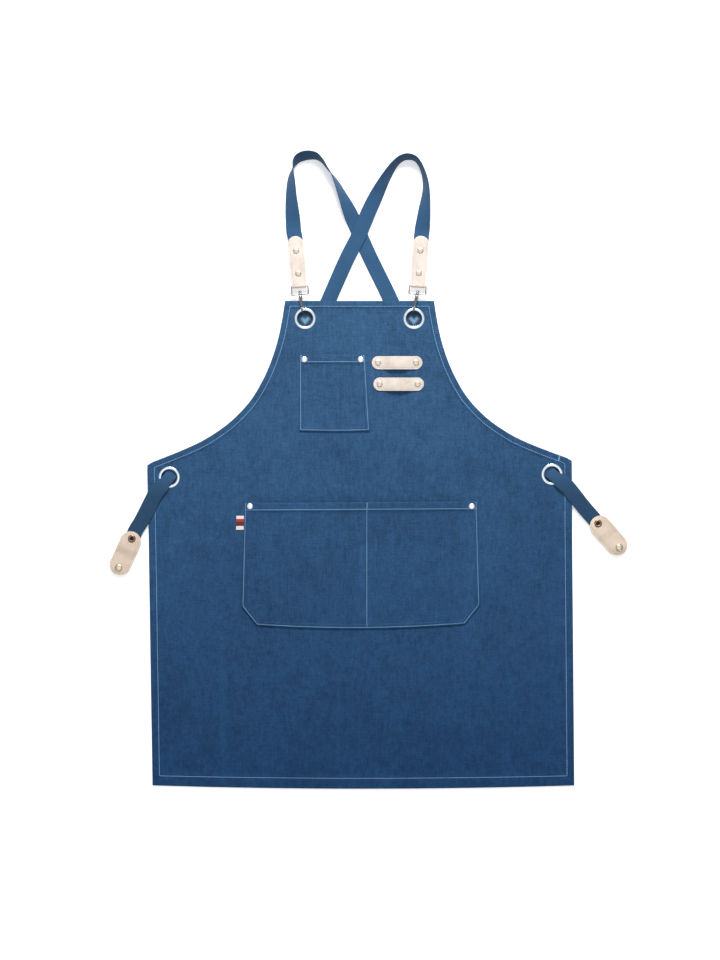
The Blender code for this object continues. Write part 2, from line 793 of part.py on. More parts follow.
def build_grommets():
    """Two-part eyelets, set as one ring each, gripping the cloth in their groove."""
    tube = GROMMET_HOLE + GROMMET_TUBE
    top = CLOTH + FIT
    profile = (
        (GROMMET_HOLE, -FIT - RIM_BACK),
        (GROMMET_HOLE, top + 0.5 * RIM_FRONT),
        (mix(GROMMET_HOLE, GROMMET_RIM, 0.5), top + RIM_FRONT),
        (GROMMET_RIM, top + 0.3 * RIM_FRONT),
        (GROMMET_RIM, top),
        (tube, top),
        (tube, -FIT),
        (GROMMET_RIM, -FIT),
        (GROMMET_RIM, -FIT - RIM_BACK),
    )
    kinds = (
        ("bib_grommet", bib_grommet_place, BIB_GROMMET_RAISE),
        ("waist_grommet", waist_grommet_place, WAIST_GROMMET_RAISE),
    )
    for stem, place, raised in kinds:
        for name, values in SIDES.items():
            x, y = place(values["side"])
            ring = turned(profile, GROMMET_SIDES, ring=True)
            add(f"{stem}_{name}", ring, "steel", Matrix.Translation((x, y, raised)))


def turned_frame(x, y, z, turn):
    """Frame at a point, turned about Z, in degrees."""
    return Matrix.Translation((x, y, z)) @ Matrix.Rotation(math.radians(turn), 4, "Z")


def swivel_frame(values):
    """Frame of a hook: origin at its swivel, local -Y towards its tip."""
    gx, gy = bib_grommet_place(values["side"])
    rim = math.radians(values["rim"])
    reach = GROMMET_HOLE - FIT - WIRE_RADIUS
    turn = math.radians(values["hook"])
    x = gx + reach * math.sin(rim) - HOOK_REACH * math.sin(turn)
    y = gy + reach * math.cos(rim) + HOOK_REACH * math.cos(turn)
    return turned_frame(x, y, HOOK_Z, values["hook"])


def frame_frame(values):
    """Frame of the hook's loop: origin at the bar in the leather fold, local +Y up the tab."""
    swivel = swivel_frame(values).translation
    turn = math.radians(values["tab"])
    x = swivel.x - FRAME_HEIGHT * math.sin(turn)
    y = swivel.y + FRAME_HEIGHT * math.cos(turn)
    return turned_frame(x, y, HOOK_Z, values["tab"])


def tab_frame(values):
    """Frame of a hook tab: as the loop's, tipped so that the tab's round end rests on the floor."""
    drop = HOOK_Z - STACK / 2 - FLOOR_GAP
    tip = math.asin(drop / HOOK_TAB_LENGTH)
    return frame_frame(values) @ Matrix.Rotation(-tip, 4, "X")


TAB_TURN_RADIUS = FRAME_WIRE + FIT + LEATHER / 2
TAB_REACH = HOOK_TAB_LENGTH - TAB_TURN_RADIUS - LEATHER / 2
TAB_RIVETS = (0.0213, 0.0590)
TAB_STRAP_END = 0.0125
STRAP_IN_HOOK_TAB = (0, 0.5, 0.86, 1.014)


def tab_outline():
    """Middle line of the folded leather: (up, height, half width), top leaf first."""
    leaf = []
    for along in pill_stations(2 * TAB_REACH, HOOK_TAB_WIDTH, 5):
        if along <= TAB_REACH:
            up = TAB_REACH - along
            spread = mix(STACK / 2 - LEATHER / 2, TAB_TURN_RADIUS, smooth(1 - up / TAB_STRAP_END))
            narrow = mix(FOLD_NARROW, 1, smooth(up / (0.4 * TAB_REACH)))
            leaf.append((up, spread, narrow * pill_half(along, 2 * TAB_REACH, HOOK_TAB_WIDTH)))
    fold_half = FOLD_NARROW * HOOK_TAB_WIDTH / 2
    leaf.append((0.0, TAB_TURN_RADIUS, fold_half))
    count = 6
    angles = [math.pi * k / count for k in range(1, count)]
    bend = [(-TAB_TURN_RADIUS * math.sin(a), TAB_TURN_RADIUS * math.cos(a), fold_half) for a in angles]
    return leaf + bend + [(up, -height, half) for up, height, half in reversed(leaf)]


def band_rings(points, thick):
    """Rings of a flat band whose middle line runs in the YZ plane."""
    rings = []
    for k, (up, height, half) in enumerate(points):
        before = points[max(0, k - 1)]
        after = points[min(len(points) - 1, k + 1)]
        along = Vector((0, after[0] - before[0], after[1] - before[1])).normalized()
        normal = Vector((1, 0, 0)).cross(along) * thick / 2
        middle = Vector((0, up, height))
        side = Vector((half, 0, 0))
        rings.append([middle - side - normal, middle + side - normal, middle + side + normal, middle - side + normal])
    return rings


def build_hook_tabs():
    """Leather tabs folded round the hooks' loops and riveted through the webbing."""
    for name, values in SIDES.items():
        place = tab_frame(values)
        tab = add(f"hook_tab_{name}", sweep(band_rings(tab_outline(), LEATHER)), "leather", place)
        drill(tab, [(0, up, SHANK_RADIUS + FIT) for up in TAB_RIVETS], -0.01, 0.01)
        for label, up in zip(("lower", "upper"), TAB_RIVETS):
            foot = place @ Matrix.Translation((0, up, -STACK / 2))
            add(f"tab_rivet_{label}_{name}", rivet_body(STACK), "steel", foot)


def wire_rings(points, radii, sides):
    """Rings of a wire whose middle line runs in the YZ plane; radii are (across, in plane)."""
    rings = []
    for k, (y, z) in enumerate(points):
        before = points[max(0, k - 1)]
        after = points[min(len(points) - 1, k + 1)]
        along = Vector((0, after[0] - before[0], after[1] - before[1])).normalized()
        normal = Vector((1, 0, 0)).cross(along)
        across, deep = radii[k]
        ring = []
        for m in range(sides):
            angle = math.tau * (m + 0.5) / sides
            ring.append(Vector((0, y, z)) + Vector((across * math.cos(angle), 0, 0)) + normal * deep * math.sin(angle))
        rings.append(ring)
    return rings


def build_hook_frames():
    """Wire loops between the leather fold and the swivel, with a bored collar for its neck."""
    half = FOLD_NARROW * HOOK_TAB_WIDTH / 2 + 2 * FIT + FRAME_WIRE
    radius = 1.4 * FRAME_WIRE
    corners = ((half, 0, 0), (-half, 0, 90), (-half, -FRAME_HEIGHT, 180), (half, -FRAME_HEIGHT, 270))
    for name, values in SIDES.items():
        rings = []
        for x, y, start in corners:
            cx = x - math.copysign(radius, x)
            cy = y - radius if y == 0 else y + radius
            for turn in (0, 45, 90):
                angle = math.radians(start + turn)
                out = Vector((math.cos(angle), math.sin(angle), 0))
                middle = Vector((cx, cy, 0)) + out * radius
                ring = []
                for m in range(WIRE_SIDES):
                    spin = math.tau * (m + 0.5) / WIRE_SIDES
                    ring.append(middle + out * FRAME_WIRE * math.cos(spin) + Vector((0, 0, FRAME_WIRE * math.sin(spin))))
                rings.append(ring)
        frame = add(f"hook_frame_{name}", closed_sweep(rings), "steel", frame_frame(values))
        near = -FRAME_HEIGHT + COLLAR_LENGTH / 2
        far = -FRAME_HEIGHT - COLLAR_LENGTH / 2
        combine(frame, rod((0, near, 0), (0, far, 0), COLLAR_RADIUS, 10), "UNION")
        bore = NECK_RADIUS + 0.0006
        combine(frame, rod((0, near + 0.002, 0), (0, far - 0.002, 0), bore, 10), "DIFFERENCE")


def lying(bm):
    """Turn a body made round Z so that its axis runs along Y, top towards +Y."""
    bmesh.ops.rotate(bm, cent=(0, 0, 0), matrix=Matrix.Rotation(math.radians(-90), 3, "X"), verts=bm.verts)
    return bm


def claw_line():
    """Middle line of the claw: under the cloth, up through the grommet and back over its rim."""
    drop = HOOK_DROP
    reach = HOOK_REACH
    bend = 1.3 * WIRE_RADIUS
    return (
        (-0.0045, 0.0),
        (-0.0075, -0.30 * drop),
        (-0.0100, -0.76 * drop),
        (-0.0130, -drop),
        (-reach + bend, -drop),
        (-reach + 0.3 * bend, -drop + 0.3 * bend),
        (-reach, -drop + bend),
        (-reach, 0.40 * drop),
        (-reach + 0.0008, 0.75 * drop),
        (-reach + 0.0026, 0.96 * drop),
        (-reach + 0.0046, 1.02 * drop),
        (-reach + 0.0072, 0.99 * drop),
        (-reach + 0.0080, 0.97 * drop),
    )


def build_hook_bodies():
    """Swivel head, neck, barrel and claw of each hook, with the web that carries the gate's pin."""
    gap = COLLAR_LENGTH / 2 + SWIVEL_PLAY
    head = 0.003
    barrel_end = 0.0055
    profile = (
        (0, gap + head),
        (0.7 * SWIVEL_RADIUS, gap + head),
        (SWIVEL_RADIUS, gap + 0.75 * head),
        (SWIVEL_RADIUS, gap),
        (NECK_RADIUS, gap),
        (NECK_RADIUS, -gap),
        (0.95 * SWIVEL_RADIUS, -gap),
        (0.95 * SWIVEL_RADIUS, -barrel_end),
        (0.6 * SWIVEL_RADIUS, -barrel_end - 0.0012),
        (0, -barrel_end - 0.0012),
    )
    line = claw_line()
    radii = [(WIRE_RADIUS, WIRE_RADIUS)] * (len(line) - 3)
    radii += [(1.9 * WIRE_RADIUS, WIRE_RADIUS), (2.1 * WIRE_RADIUS, WIRE_RADIUS), (1.5 * WIRE_RADIUS, 0.7 * WIRE_RADIUS)]
    web = 0.0009
    pin_end = 0.0029
    for name, values in SIDES.items():
        place = swivel_frame(values)
        body = add(f"hook_body_{name}", lying(turned(profile, 10)), "hook_metal", place)
        combine(body, sweep(wire_rings(line, radii, WIRE_SIDES)), "UNION")
        combine(body, web_block(web), "UNION")
        pin = rod((-pin_end, -PIN_AHEAD, PIN_ABOVE), (pin_end, -PIN_AHEAD, PIN_ABOVE), PIN_RADIUS, 8)
        combine(body, pin, "UNION")


def web_block(half):
    """Plate under the gate, rounded about the pin."""
    radius = 0.0012
    count = 6
    outline = [(-0.0045, -0.001), (-0.0045, 0.0022)]
    for k in range(count + 1):
        angle = math.radians(60 + 150 * k / count)
        outline.append((-PIN_AHEAD + radius * math.cos(angle), PIN_ABOVE + radius * math.sin(angle)))
    outline.append((-PIN_AHEAD - radius, -0.0012))
    rings = [[Vector((x, y, z)) for y, z in outline] for x in (-half, half)]
    return sweep(rings)


def build_gates():
    """Spring gates: a tapered lever with two cheeks on the pin, its end just short of the claw's tip."""
    cheek_in = 0.0016
    cheek_out = 0.0024
    under = 0.0015
    rear = 0.0016
    for name, values in SIDES.items():
        pin = swivel_frame(values) @ Matrix.Translation((0, -PIN_AHEAD, PIN_ABOVE))
        tip = 0.0017
        rings = []
        for y, half in ((rear, cheek_out), (-0.0035, cheek_out), (-GATE_LENGTH, tip)):
            low = Vector((0, y, under))
            high = Vector((0, y, under + GATE_PLATE))
            side = Vector((half, 0, 0))
            rings.append([low - side, low + side, high + side, high - side])
        gate = add(f"hook_gate_{name}", sweep(rings), "hook_metal", pin)
        for side in (-1, 1):
            inner, outer = sorted((side * cheek_in, side * cheek_out))
            cheek = block((inner, -0.003, -0.0016), (outer, 0.0013, under + 0.0004))
            combine(gate, cheek, "UNION")
        bore = rod((-0.004, 0, 0), (0.004, 0, 0), PIN_RADIUS + 0.0002, 10)
        combine(gate, bore, "DIFFERENCE")


SOCKET_ALONG = 0.0116
STUD_ALONG = END_TAB_LENGTH - 0.0113
END_STRAP_DEPTH = 0.024
STRAP_IN_END_TAB = (-0.125, 0.125, 0.5, 1.0)
END_FOOT = STACK - STRAP_THICK - 2 * FIT + 0.0002


def end_tab_apex(values):
    """Where the end tab's upper end lies: past the waist grommet, along the strap's tail."""
    gx, gy = waist_grommet_place(values["side"])
    turn = math.radians(values["tail_turn"])
    return gx + values["tail"] * math.sin(turn), gy - values["tail"] * math.cos(turn)


def end_tab_frame(values):
    """Frame of an end tab: origin at its upper end on the tab's underside, local -Y towards its foot."""
    x, y = end_tab_apex(values)
    return turned_frame(x, y, END_TAB_RAISE, values["end_turn"])


def build_end_tabs():
    """Leather tabs of two leaves round the strap's end, with a snap's socket and stud."""
    for name, values in SIDES.items():
        place = end_tab_frame(values)
        upper = []
        lower = []
        for along in pill_stations(END_TAB_LENGTH, END_TAB_WIDTH, 4):
            half = pill_half(along, END_TAB_LENGTH, END_TAB_WIDTH)
            thick = mix(STACK, END_FOOT, smooth((along - END_STRAP_DEPTH - 0.004) / 0.016))
            lower.append([(side * half, -along, 0) for side in (-1, 0, 1)])
            upper.append([(side * half, -along, thick) for side in (-1, 0, 1)])
        tab = add(f"end_tab_{name}", slab(upper, lower), "leather", place)
        half = STRAP_WIDTH / 2 + FIT
        slot = block((-half, -END_STRAP_DEPTH - 0.001, LEATHER), (half, 0.005, STACK - LEATHER))
        combine(tab, slot, "DIFFERENCE")
        drill(tab, [(0, -SOCKET_ALONG, SHANK_RADIUS + FIT), (0, -STUD_ALONG, SHANK_RADIUS + FIT)], -0.01, 0.02)
        socket = place @ Matrix.Translation((0, -SOCKET_ALONG, 0))
        add(f"snap_socket_{name}", turned(socket_profile(STACK), SNAP_SIDES), "socket_metal", socket)
        stud = place @ Matrix.Translation((0, -STUD_ALONG, 0))
        add(f"snap_stud_{name}", turned(stud_profile(END_FOOT), SNAP_SIDES), "stud_metal", stud)


def snap_foot():
    """Lower half of a snap's profile: shank and back cap."""
    return ((SHANK_RADIUS, -FIT), (BACK_RADIUS, -FIT), (BACK_RADIUS, -RIVET_BACK), (0, -RIVET_BACK))


def socket_profile(grip):
    """Snap socket: a ring with a round recess."""
    top = grip + FIT
    return (
        (0, top + 0.4 * SNAP_HEIGHT),
        (SNAP_BORE, top + 0.4 * SNAP_HEIGHT),
        (1.1 * SNAP_BORE, top + SNAP_HEIGHT),
        (0.85 * SNAP_RADIUS, top + 0.9 * SNAP_HEIGHT),
        (SNAP_RADIUS, top + 0.4 * SNAP_HEIGHT),
        (SNAP_RADIUS, top),
        (SHANK_RADIUS, top),
    ) + snap_foot()


def stud_profile(grip):
    """Snap stud: a low dome on a flat rim."""
    top = grip + FIT
    return (
        (0, top + 1.2 * SNAP_HEIGHT),
        (0.5 * SNAP_RADIUS, top + 1.1 * SNAP_HEIGHT),
        (0.85 * SNAP_RADIUS, top + 0.7 * SNAP_HEIGHT),
        (0.97 * SNAP_RADIUS, top + 0.3 * SNAP_HEIGHT),
        (0.97 * SNAP_RADIUS, top),
        (SHANK_RADIUS, top),
    ) + snap_foot()


def strap_route(name):
    """Points of a strap: (x, y, lift, tilt, width), from its hook tab to its end tab, and run marks."""
    values = SIDES[name]
    other = SIDES["right" if name == "left" else "left"]
    place = tab_frame(values)
    points = []
    for share in STRAP_IN_HOOK_TAB:
        spot = place @ Vector((0, mix(TAB_STRAP_END, TAB_REACH, share), 0))
        points.append((spot.x, spot.y, spot.z - STRAP_FLOOR, 0.0, STRAP_WIDTH))
    apex = place @ Vector((0, TAB_REACH + LEATHER, 0))
    base = apex.y
    table = LEFT_LOOP if name == "left" else RIGHT_LOOP
    for across, up, tilt in table:
        x = across * LOOP_SPREAD
        y = base + up * LOOP_HEIGHT
        lift = 0.0
        if name == "right":
            lift = CROSS_LIFT * smooth((CROSS_END - math.hypot(x, y - base)) / (CROSS_END - CROSS_LEVEL))
        if (across, up, tilt) == table[0]:
            lift = 0.9 * (apex.z - STRAP_FLOOR)
        points.append((x, y, lift, -math.radians(tilt), STRAP_WIDTH))
    loop_end = len(points)
    side = other["side"]
    gx, gy = waist_grommet_place(side)
    for across, drop in HIDDEN_RUN:
        points.append((across * gx, BIB_TOP - drop * (BIB_TOP - gy), 0.0, 0.0, STRAP_WIDTH))
    run_end = len(points)
    turn = math.radians(other["tail_turn"])
    along_dir = Vector((math.sin(turn), -math.cos(turn)))
    out_dir = Vector((math.cos(turn), math.sin(turn))) * side
    for along, outward, height, squeeze in TAIL_RUN:
        spot = Vector((gx, gy)) + along_dir * along * other["tail"] + out_dir * outward * other["tail"]
        width = STRAP_WIDTH * (1 - TAIL_SQUEEZE * squeeze)
        points.append((spot.x, spot.y, TAIL_RISE * height, 0.0, width))
    end = end_tab_frame(other)
    for share in STRAP_IN_END_TAB:
        spot = end @ Vector((0, -share * END_STRAP_DEPTH, STACK / 2))
        points.append((spot.x, spot.y, spot.z - STRAP_FLOOR, 0.0, STRAP_WIDTH))
    return points, loop_end, run_end


def strap_sections(name):
    """Sections of a strap, evenly spaced on smooth curves through its route."""
    points, loop_end, run_end = strap_route(name)
    places = [0.0]
    for before, after in zip(points, points[1:]):
        places.append(places[-1] + math.dist(before[:3], after[:3]))
    columns = list(zip(*points))
    slopes = [slopes_of(places, column, k > 1) for k, column in enumerate(columns)]
    stations = []
    bounds = ((0, loop_end - 1, LOOP_SPACING), (loop_end - 1, run_end, RUN_SPACING), (run_end, len(points) - 1, TAIL_SPACING))
    for first, last, spacing in bounds:
        length = places[last] - places[first]
        count = max(1, round(length / spacing))
        stations += [mix(places[first], places[last], k / count) for k in range(count)]
    stations.append(places[-1])
    rows = [[curve_value(places, column, slope, s) for column, slope in zip(columns, slopes)] for s in stations]
    for row in rows:
        row[2] += FLOOR_GAP + row[4] / 2 * abs(math.sin(row[3])) + STRAP_THICK / 2 * abs(math.cos(row[3]))
    sections = []
    for k, (x, y, z, tilt, width) in enumerate(rows):
        before = Vector(rows[max(0, k - 1)][:3])
        after = Vector(rows[min(len(rows) - 1, k + 1)][:3])
        along = (after - before).normalized()
        level = Vector((0, 0, 1)).cross(along).normalized()
        up = along.cross(level)
        side = level * math.cos(tilt) + up * math.sin(tilt)
        normal = up * math.cos(tilt) - level * math.sin(tilt)
        sections.append((Vector((x, y, z)), side * width / 2, normal * STRAP_THICK / 2))
    return sections


def build_straps():
    """Webbing straps, one band each from the hook tab to the opposite end tab."""
    for name, values in SIDES.items():
        rings = []
        for middle, side, normal in strap_sections(name):
            rings.append([middle - side - normal, middle + side - normal, middle + side + normal, middle - side + normal])
        strap = add(f"shoulder_strap_{name}", sweep(rings, even=True), "webbing")
        other = SIDES["right" if name == "left" else "left"]
        tab = tab_frame(values)
        spots = [tab @ Vector((0, up, 0)) for up in TAB_RIVETS]
        spots.append(end_tab_frame(other) @ Vector((0, -SOCKET_ALONG, 0)))
        drill(strap, [(spot.x, spot.y, STRAP_HOLE) for spot in spots], -0.01, 0.03)


def main():
    for old in list(bpy.data.objects):
        bpy.data.objects.remove(old, do_unlink=True)
    build_panel()
    build_chest_pocket()
    build_waist_pocket()
    build_label()
    build_tool_loops()
    build_panel_rivets()
    build_grommets()
    build_hook_tabs()
    build_hook_frames()
    build_hook_bodies()
    build_gates()
    build_end_tabs()
    build_straps()


main()
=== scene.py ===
"""Looks of the cross back apron: finer cloth, webbing, leather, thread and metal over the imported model."""

import bisect
import math

import bmesh
import bpy
from mathutils import Matrix, Vector, noise


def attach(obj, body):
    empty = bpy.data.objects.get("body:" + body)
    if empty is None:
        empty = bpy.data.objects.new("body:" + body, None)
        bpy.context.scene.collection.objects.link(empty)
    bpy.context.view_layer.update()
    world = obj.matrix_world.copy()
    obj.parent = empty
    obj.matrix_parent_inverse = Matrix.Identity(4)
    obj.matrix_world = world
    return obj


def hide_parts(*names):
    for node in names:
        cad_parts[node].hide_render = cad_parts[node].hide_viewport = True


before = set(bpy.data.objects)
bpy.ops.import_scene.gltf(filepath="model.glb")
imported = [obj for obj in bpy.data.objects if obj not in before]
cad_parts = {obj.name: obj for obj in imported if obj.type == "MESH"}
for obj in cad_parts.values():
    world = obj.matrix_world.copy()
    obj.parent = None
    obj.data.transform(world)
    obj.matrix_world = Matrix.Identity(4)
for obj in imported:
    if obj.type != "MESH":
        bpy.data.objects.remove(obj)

# Sizes of the model, in metres
# Gaps
FIT = 0.0003
FLOOR_GAP = 0.0001

# Panel
BIB_WIDTH = 0.247
BIB_HEIGHT = 0.267
WAIST_WIDTH = 0.704
HEM_WIDTH = 0.700
SKIRT_LENGTH = 0.537
HEM_BOW = 0.0055
HEM_SHIFT = 0.0064
WAIST_SLANT = 0.0037
CORNER_CUT = 0.002
CLOTH = 0.001

# Grommets
GROMMET_HOLE = 0.013
GROMMET_RIM = 0.01775
GROMMET_TUBE = 0.0012
RIM_FRONT = 0.0010
RIM_BACK = 0.0008
BIB_GROMMET_INSET = 0.0332
BIB_GROMMET_DROP = 0.0294
WAIST_GROMMET_INSET = 0.0345
WAIST_GROMMET_DROP = 0.0232
WAIST_GROMMET_SLIP = 0.0016

# Webbing
STRAP_WIDTH = 0.025
STRAP_THICK = 0.0016

# Leather
LEATHER = 0.0017
HOOK_TAB_WIDTH = 0.0262
FOLD_NARROW = 0.92
HOOK_TAB_LENGTH = 0.0865
END_TAB_WIDTH = 0.0355
END_TAB_LENGTH = 0.0762
END_TAB_RAISE = 0.0012
LOOP_STRIP_LENGTH = 0.084
LOOP_STRIP_WIDTH = 0.022
LOOP_STRIP_ARCH = 0.0052
LOOP_RIVET_INSET = 0.0104

# Chest pocket
CHEST_TOP_WIDTH = 0.1093
CHEST_BOTTOM_WIDTH = 0.1169
CHEST_HEIGHT = 0.126
CHEST_LEFT = 0.0998
CHEST_DROP = 0.0895
CHEST_CROWN = 0.0062
CHEST_RIVET_DROP = 0.0078
CHEST_RIVET_INSETS = (0.0085, 0.0075)

# Waist pocket
WAIST_POCKET_WIDTH = 0.386
WAIST_POCKET_FLARE = 0.0055
WAIST_POCKET_HEIGHT = 0.203
WAIST_POCKET_BOW = 0.007
WAIST_POCKET_CUT = 0.026
WAIST_POCKET_RISE = 0.031
WAIST_POCKET_DROP = 0.067
WAIST_POCKET_CENTRE = 0.0022
WAIST_POCKET_SEAM = 0.010
WAIST_POCKET_CROWN = 0.0075
WAIST_RIVET_DROP = 0.0068
WAIST_RIVET_INSET = 0.009
SEAM_BAND = 0.006
MOUTH_BAND = 0.0138
RIVET_LAND = 0.0150

# Side label
LABEL_LENGTH = 0.0125
LABEL_WIDTH = 0.0232
LABEL_DROP = 0.0225
LABEL_THICK = 0.001

# Tool loops
LOOP_CENTRE = 0.0636
LOOP_DROP = 0.1025
LOOP_PITCH = 0.0355
LOOP_STAGGER = 0.0026

# Fasteners
CAP_RADIUS = 0.005
CAP_HEIGHT = 0.0014
BACK_RADIUS = 0.004
BACK_THICK = 0.0008
SHANK_RADIUS = 0.0015

SNAP_RADIUS = 0.0064
SNAP_HEIGHT = 0.0017
SNAP_BORE = 0.003

# Snap hooks
WIRE_RADIUS = 0.00125
FRAME_WIRE = 0.0011
FRAME_HEIGHT = 0.0133
HOOK_REACH = 0.030
HOOK_DROP = 0.0056
SWIVEL_RADIUS = 0.0032
NECK_RADIUS = 0.0013
COLLAR_RADIUS = 0.003
COLLAR_LENGTH = 0.0032
SWIVEL_PLAY = 0.0009
PIN_AHEAD = 0.0076
PIN_ABOVE = 0.0032
PIN_RADIUS = 0.0008
GATE_LENGTH = 0.0136
GATE_PLATE = 0.0009

# Shoulder loops and strap tails
LOOP_SPREAD = 0.104
LOOP_HEIGHT = 0.132
CROSS_LIFT = 0.0026
CROSS_LEVEL = 0.034
CROSS_END = 0.078
TAIL_RISE = 0.0080
TAIL_SQUEEZE = 0.23

# Levels that follow from the sizes
BIB_TOP = (BIB_HEIGHT + SKIRT_LENGTH + HEM_BOW) / 2
WAIST_Y = BIB_TOP - BIB_HEIGHT
HEM_Y = WAIST_Y - SKIRT_LENGTH
POCKET_TOP = WAIST_Y - WAIST_POCKET_DROP
STRAP_FLOOR = FLOOR_GAP + STRAP_THICK / 2
RIVET_BACK = FIT + BACK_THICK
STACK = 2 * LEATHER + 2 * FIT + STRAP_THICK
HOOK_CLEAR = 0.00045
HOOK_Z = HOOK_CLEAR + WIRE_RADIUS + HOOK_DROP

# Heights of the panel's underside
POCKET_RAISE = FLOOR_GAP + RIVET_BACK
BIB_RAISE = POCKET_RAISE + STRAP_THICK + FIT
BIB_GROMMET_RAISE = 2 * HOOK_CLEAR + 2 * WIRE_RADIUS + RIM_BACK + FIT
WAIST_GROMMET_RAISE = FLOOR_GAP + STRAP_THICK + 0.0006 + RIM_BACK + FIT

# Columns: drop below the bib's top (share of BIB_HEIGHT), reach (share of the way out to the waist)
ARMHOLE = (
    (0.000, 0.000),
    (0.120, 0.022),
    (0.240, 0.052),
    (0.370, 0.100),
    (0.490, 0.162),
    (0.620, 0.256),
    (0.740, 0.391),
    (0.800, 0.485),
    (0.865, 0.612),
    (0.930, 0.785),
    (1.000, 1.000),
)

# Columns: across (share of LOOP_SPREAD), up (share of LOOP_HEIGHT), tilt in degrees
LEFT_LOOP = (
    (-1.044, 0.027, 0),
    (-1.060, 0.178, 10),
    (-1.075, 0.329, 28),
    (-1.087, 0.480, 43),
    (-1.087, 0.681, 60),
    (-1.077, 0.782, 76),
    (-1.057, 0.845, 90),
    (-1.030, 0.908, 106),
    (-0.982, 0.958, 116),
    (-0.886, 0.991, 121),
    (-0.790, 1.000, 118),
    (-0.694, 0.989, 110),
    (-0.599, 0.933, 98),
    (-0.503, 0.826, 90),
    (-0.459, 0.782, 87),
    (-0.381, 0.681, 74),
    (-0.262, 0.480, 52),
    (-0.149, 0.279, 20),
    (-0.096, 0.187, 4),
    (-0.050, 0.108, 0),
    (-0.010, 0.035, 0),
    (0.166, -0.274, 0),
)
RIGHT_LOOP = (
    (0.994, 0.027, 0),
    (1.016, 0.178, 25),
    (1.036, 0.329, 42),
    (1.056, 0.480, 58),
    (1.060, 0.581, 67),
    (1.047, 0.681, 73),
    (1.015, 0.782, 78),
    (0.960, 0.883, 80),
    (0.886, 0.952, 78),
    (0.759, 0.976, 73),
    (0.662, 0.952, 71),
    (0.561, 0.883, 67),
    (0.430, 0.732, 54),
    (0.358, 0.631, 44),
    (0.291, 0.530, 31),
    (0.229, 0.430, 20),
    (0.167, 0.329, 11),
    (0.082, 0.172, 3),
    (-0.008, 0.002, 0),
    (-0.186, -0.274, 0),
)

# Columns: across (share of the waist grommet's distance from the centre), drop (share of the way
# from the bib's top down to the waist grommet)
HIDDEN_RUN = (
    (0.157, -0.018),
    (0.290, 0.313),
    (0.426, 0.575),
    (0.568, 0.732),
    (0.700, 0.820),
    (0.826, 0.889),
)

# Columns: along (share of the tail's length), outward (same share), height (share of TAIL_RISE
# over the floor), squeeze (share of TAIL_SQUEEZE)
TAIL_RUN = (
    (-0.200, 0.000, 0.000, 0.2),
    (-0.085, 0.000, 0.000, 1.0),
    (-0.048, 0.000, 0.110, 1.0),
    (0.000, 0.000, 0.400, 1.0),
    (0.048, 0.004, 0.660, 1.0),
    (0.085, 0.008, 0.820, 1.0),
    (0.130, 0.016, 0.940, 0.4),
    (0.180, 0.026, 1.000, 0.0),
    (0.300, 0.042, 0.960, 0.0),
    (0.480, 0.032, 0.790, 0.0),
    (0.660, 0.015, 0.620, 0.0),
    (0.830, 0.004, 0.480, 0.0),
)

# Columns: side, turn of the hook tab, turn of the hook, place on the grommet's rim (degrees),
# tail length, turn of the tail, turn of the end tab
SIDES = {
    "left": dict(side=-1, tab=5.3, hook=6.9, rim=-22.7, tail=0.1075, tail_turn=-32.0, end_turn=-24.5),
    "right": dict(side=1, tab=-4.2, hook=-12.2, rim=-4.5, tail=0.0998, tail_turn=43.3, end_turn=41.4),
}

LOOP_SPACING = 0.003
RUN_SPACING = 0.007
TAIL_SPACING = 0.003


def mix(low, high, share):
    """Value a share of the way from low to high."""
    return low + (high - low) * share


def smooth(share):
    """Soft step from 0 to 1, held at both ends."""
    share = min(1.0, max(0.0, share))
    return share * share * (3 - 2 * share)


def slopes_of(places, values, limited):
    """Slopes for a curve through the values; a limited one never overshoots them."""
    steps = [(values[k + 1] - values[k]) / (places[k + 1] - places[k]) for k in range(len(places) - 1)]
    slopes = [steps[0]]
    for before, after in zip(steps, steps[1:]):
        slope = (before + after) / 2
        if limited:
            slope = 0.0 if before * after <= 0 else 2 * before * after / (before + after)
        slopes.append(slope)
    slopes.append(steps[-1])
    return slopes


def curve_value(places, values, slopes, place):
    """Point on the curve through the values at a place."""
    k = 0
    while k < len(places) - 2 and place > places[k + 1]:
        k += 1
    span = places[k + 1] - places[k]
    t = (place - places[k]) / span
    start = (2 * t ** 3 - 3 * t ** 2 + 1) * values[k] + (t ** 3 - 2 * t ** 2 + t) * span * slopes[k]
    end = (3 * t ** 2 - 2 * t ** 3) * values[k + 1] + (t ** 3 - t ** 2) * span * slopes[k + 1]
    return start + end


ARMHOLE_DROPS = [row[0] for row in ARMHOLE]
ARMHOLE_REACH = [row[1] for row in ARMHOLE]
ARMHOLE_SLOPES = slopes_of(ARMHOLE_DROPS, ARMHOLE_REACH, False)


def half_width(y):
    """Half the panel's width at a level of the pattern."""
    if y >= WAIST_Y:
        drop = (BIB_TOP - y) / BIB_HEIGHT
        share = curve_value(ARMHOLE_DROPS, ARMHOLE_REACH, ARMHOLE_SLOPES, drop)
        return mix(BIB_WIDTH, WAIST_WIDTH, share) / 2
    return mix(WAIST_WIDTH, HEM_WIDTH, (WAIST_Y - y) / SKIRT_LENGTH) / 2


def lay(x, y):
    """Where a point of the even pattern lies: the hem drifts and bows, the waist line slants."""
    down = max(0.0, (WAIST_Y - y) / SKIRT_LENGTH)
    if y >= WAIST_Y:
        slant = smooth(1 - (y - WAIST_Y) / BIB_HEIGHT)
    else:
        slant = smooth(1 - (WAIST_Y - y) / WAIST_POCKET_DROP)
    bow = HEM_BOW * (1 - (x / half_width(y)) ** 2) * down ** 8
    return x + HEM_SHIFT * down, y + WAIST_SLANT * slant * x / (WAIST_WIDTH / 2) - bow


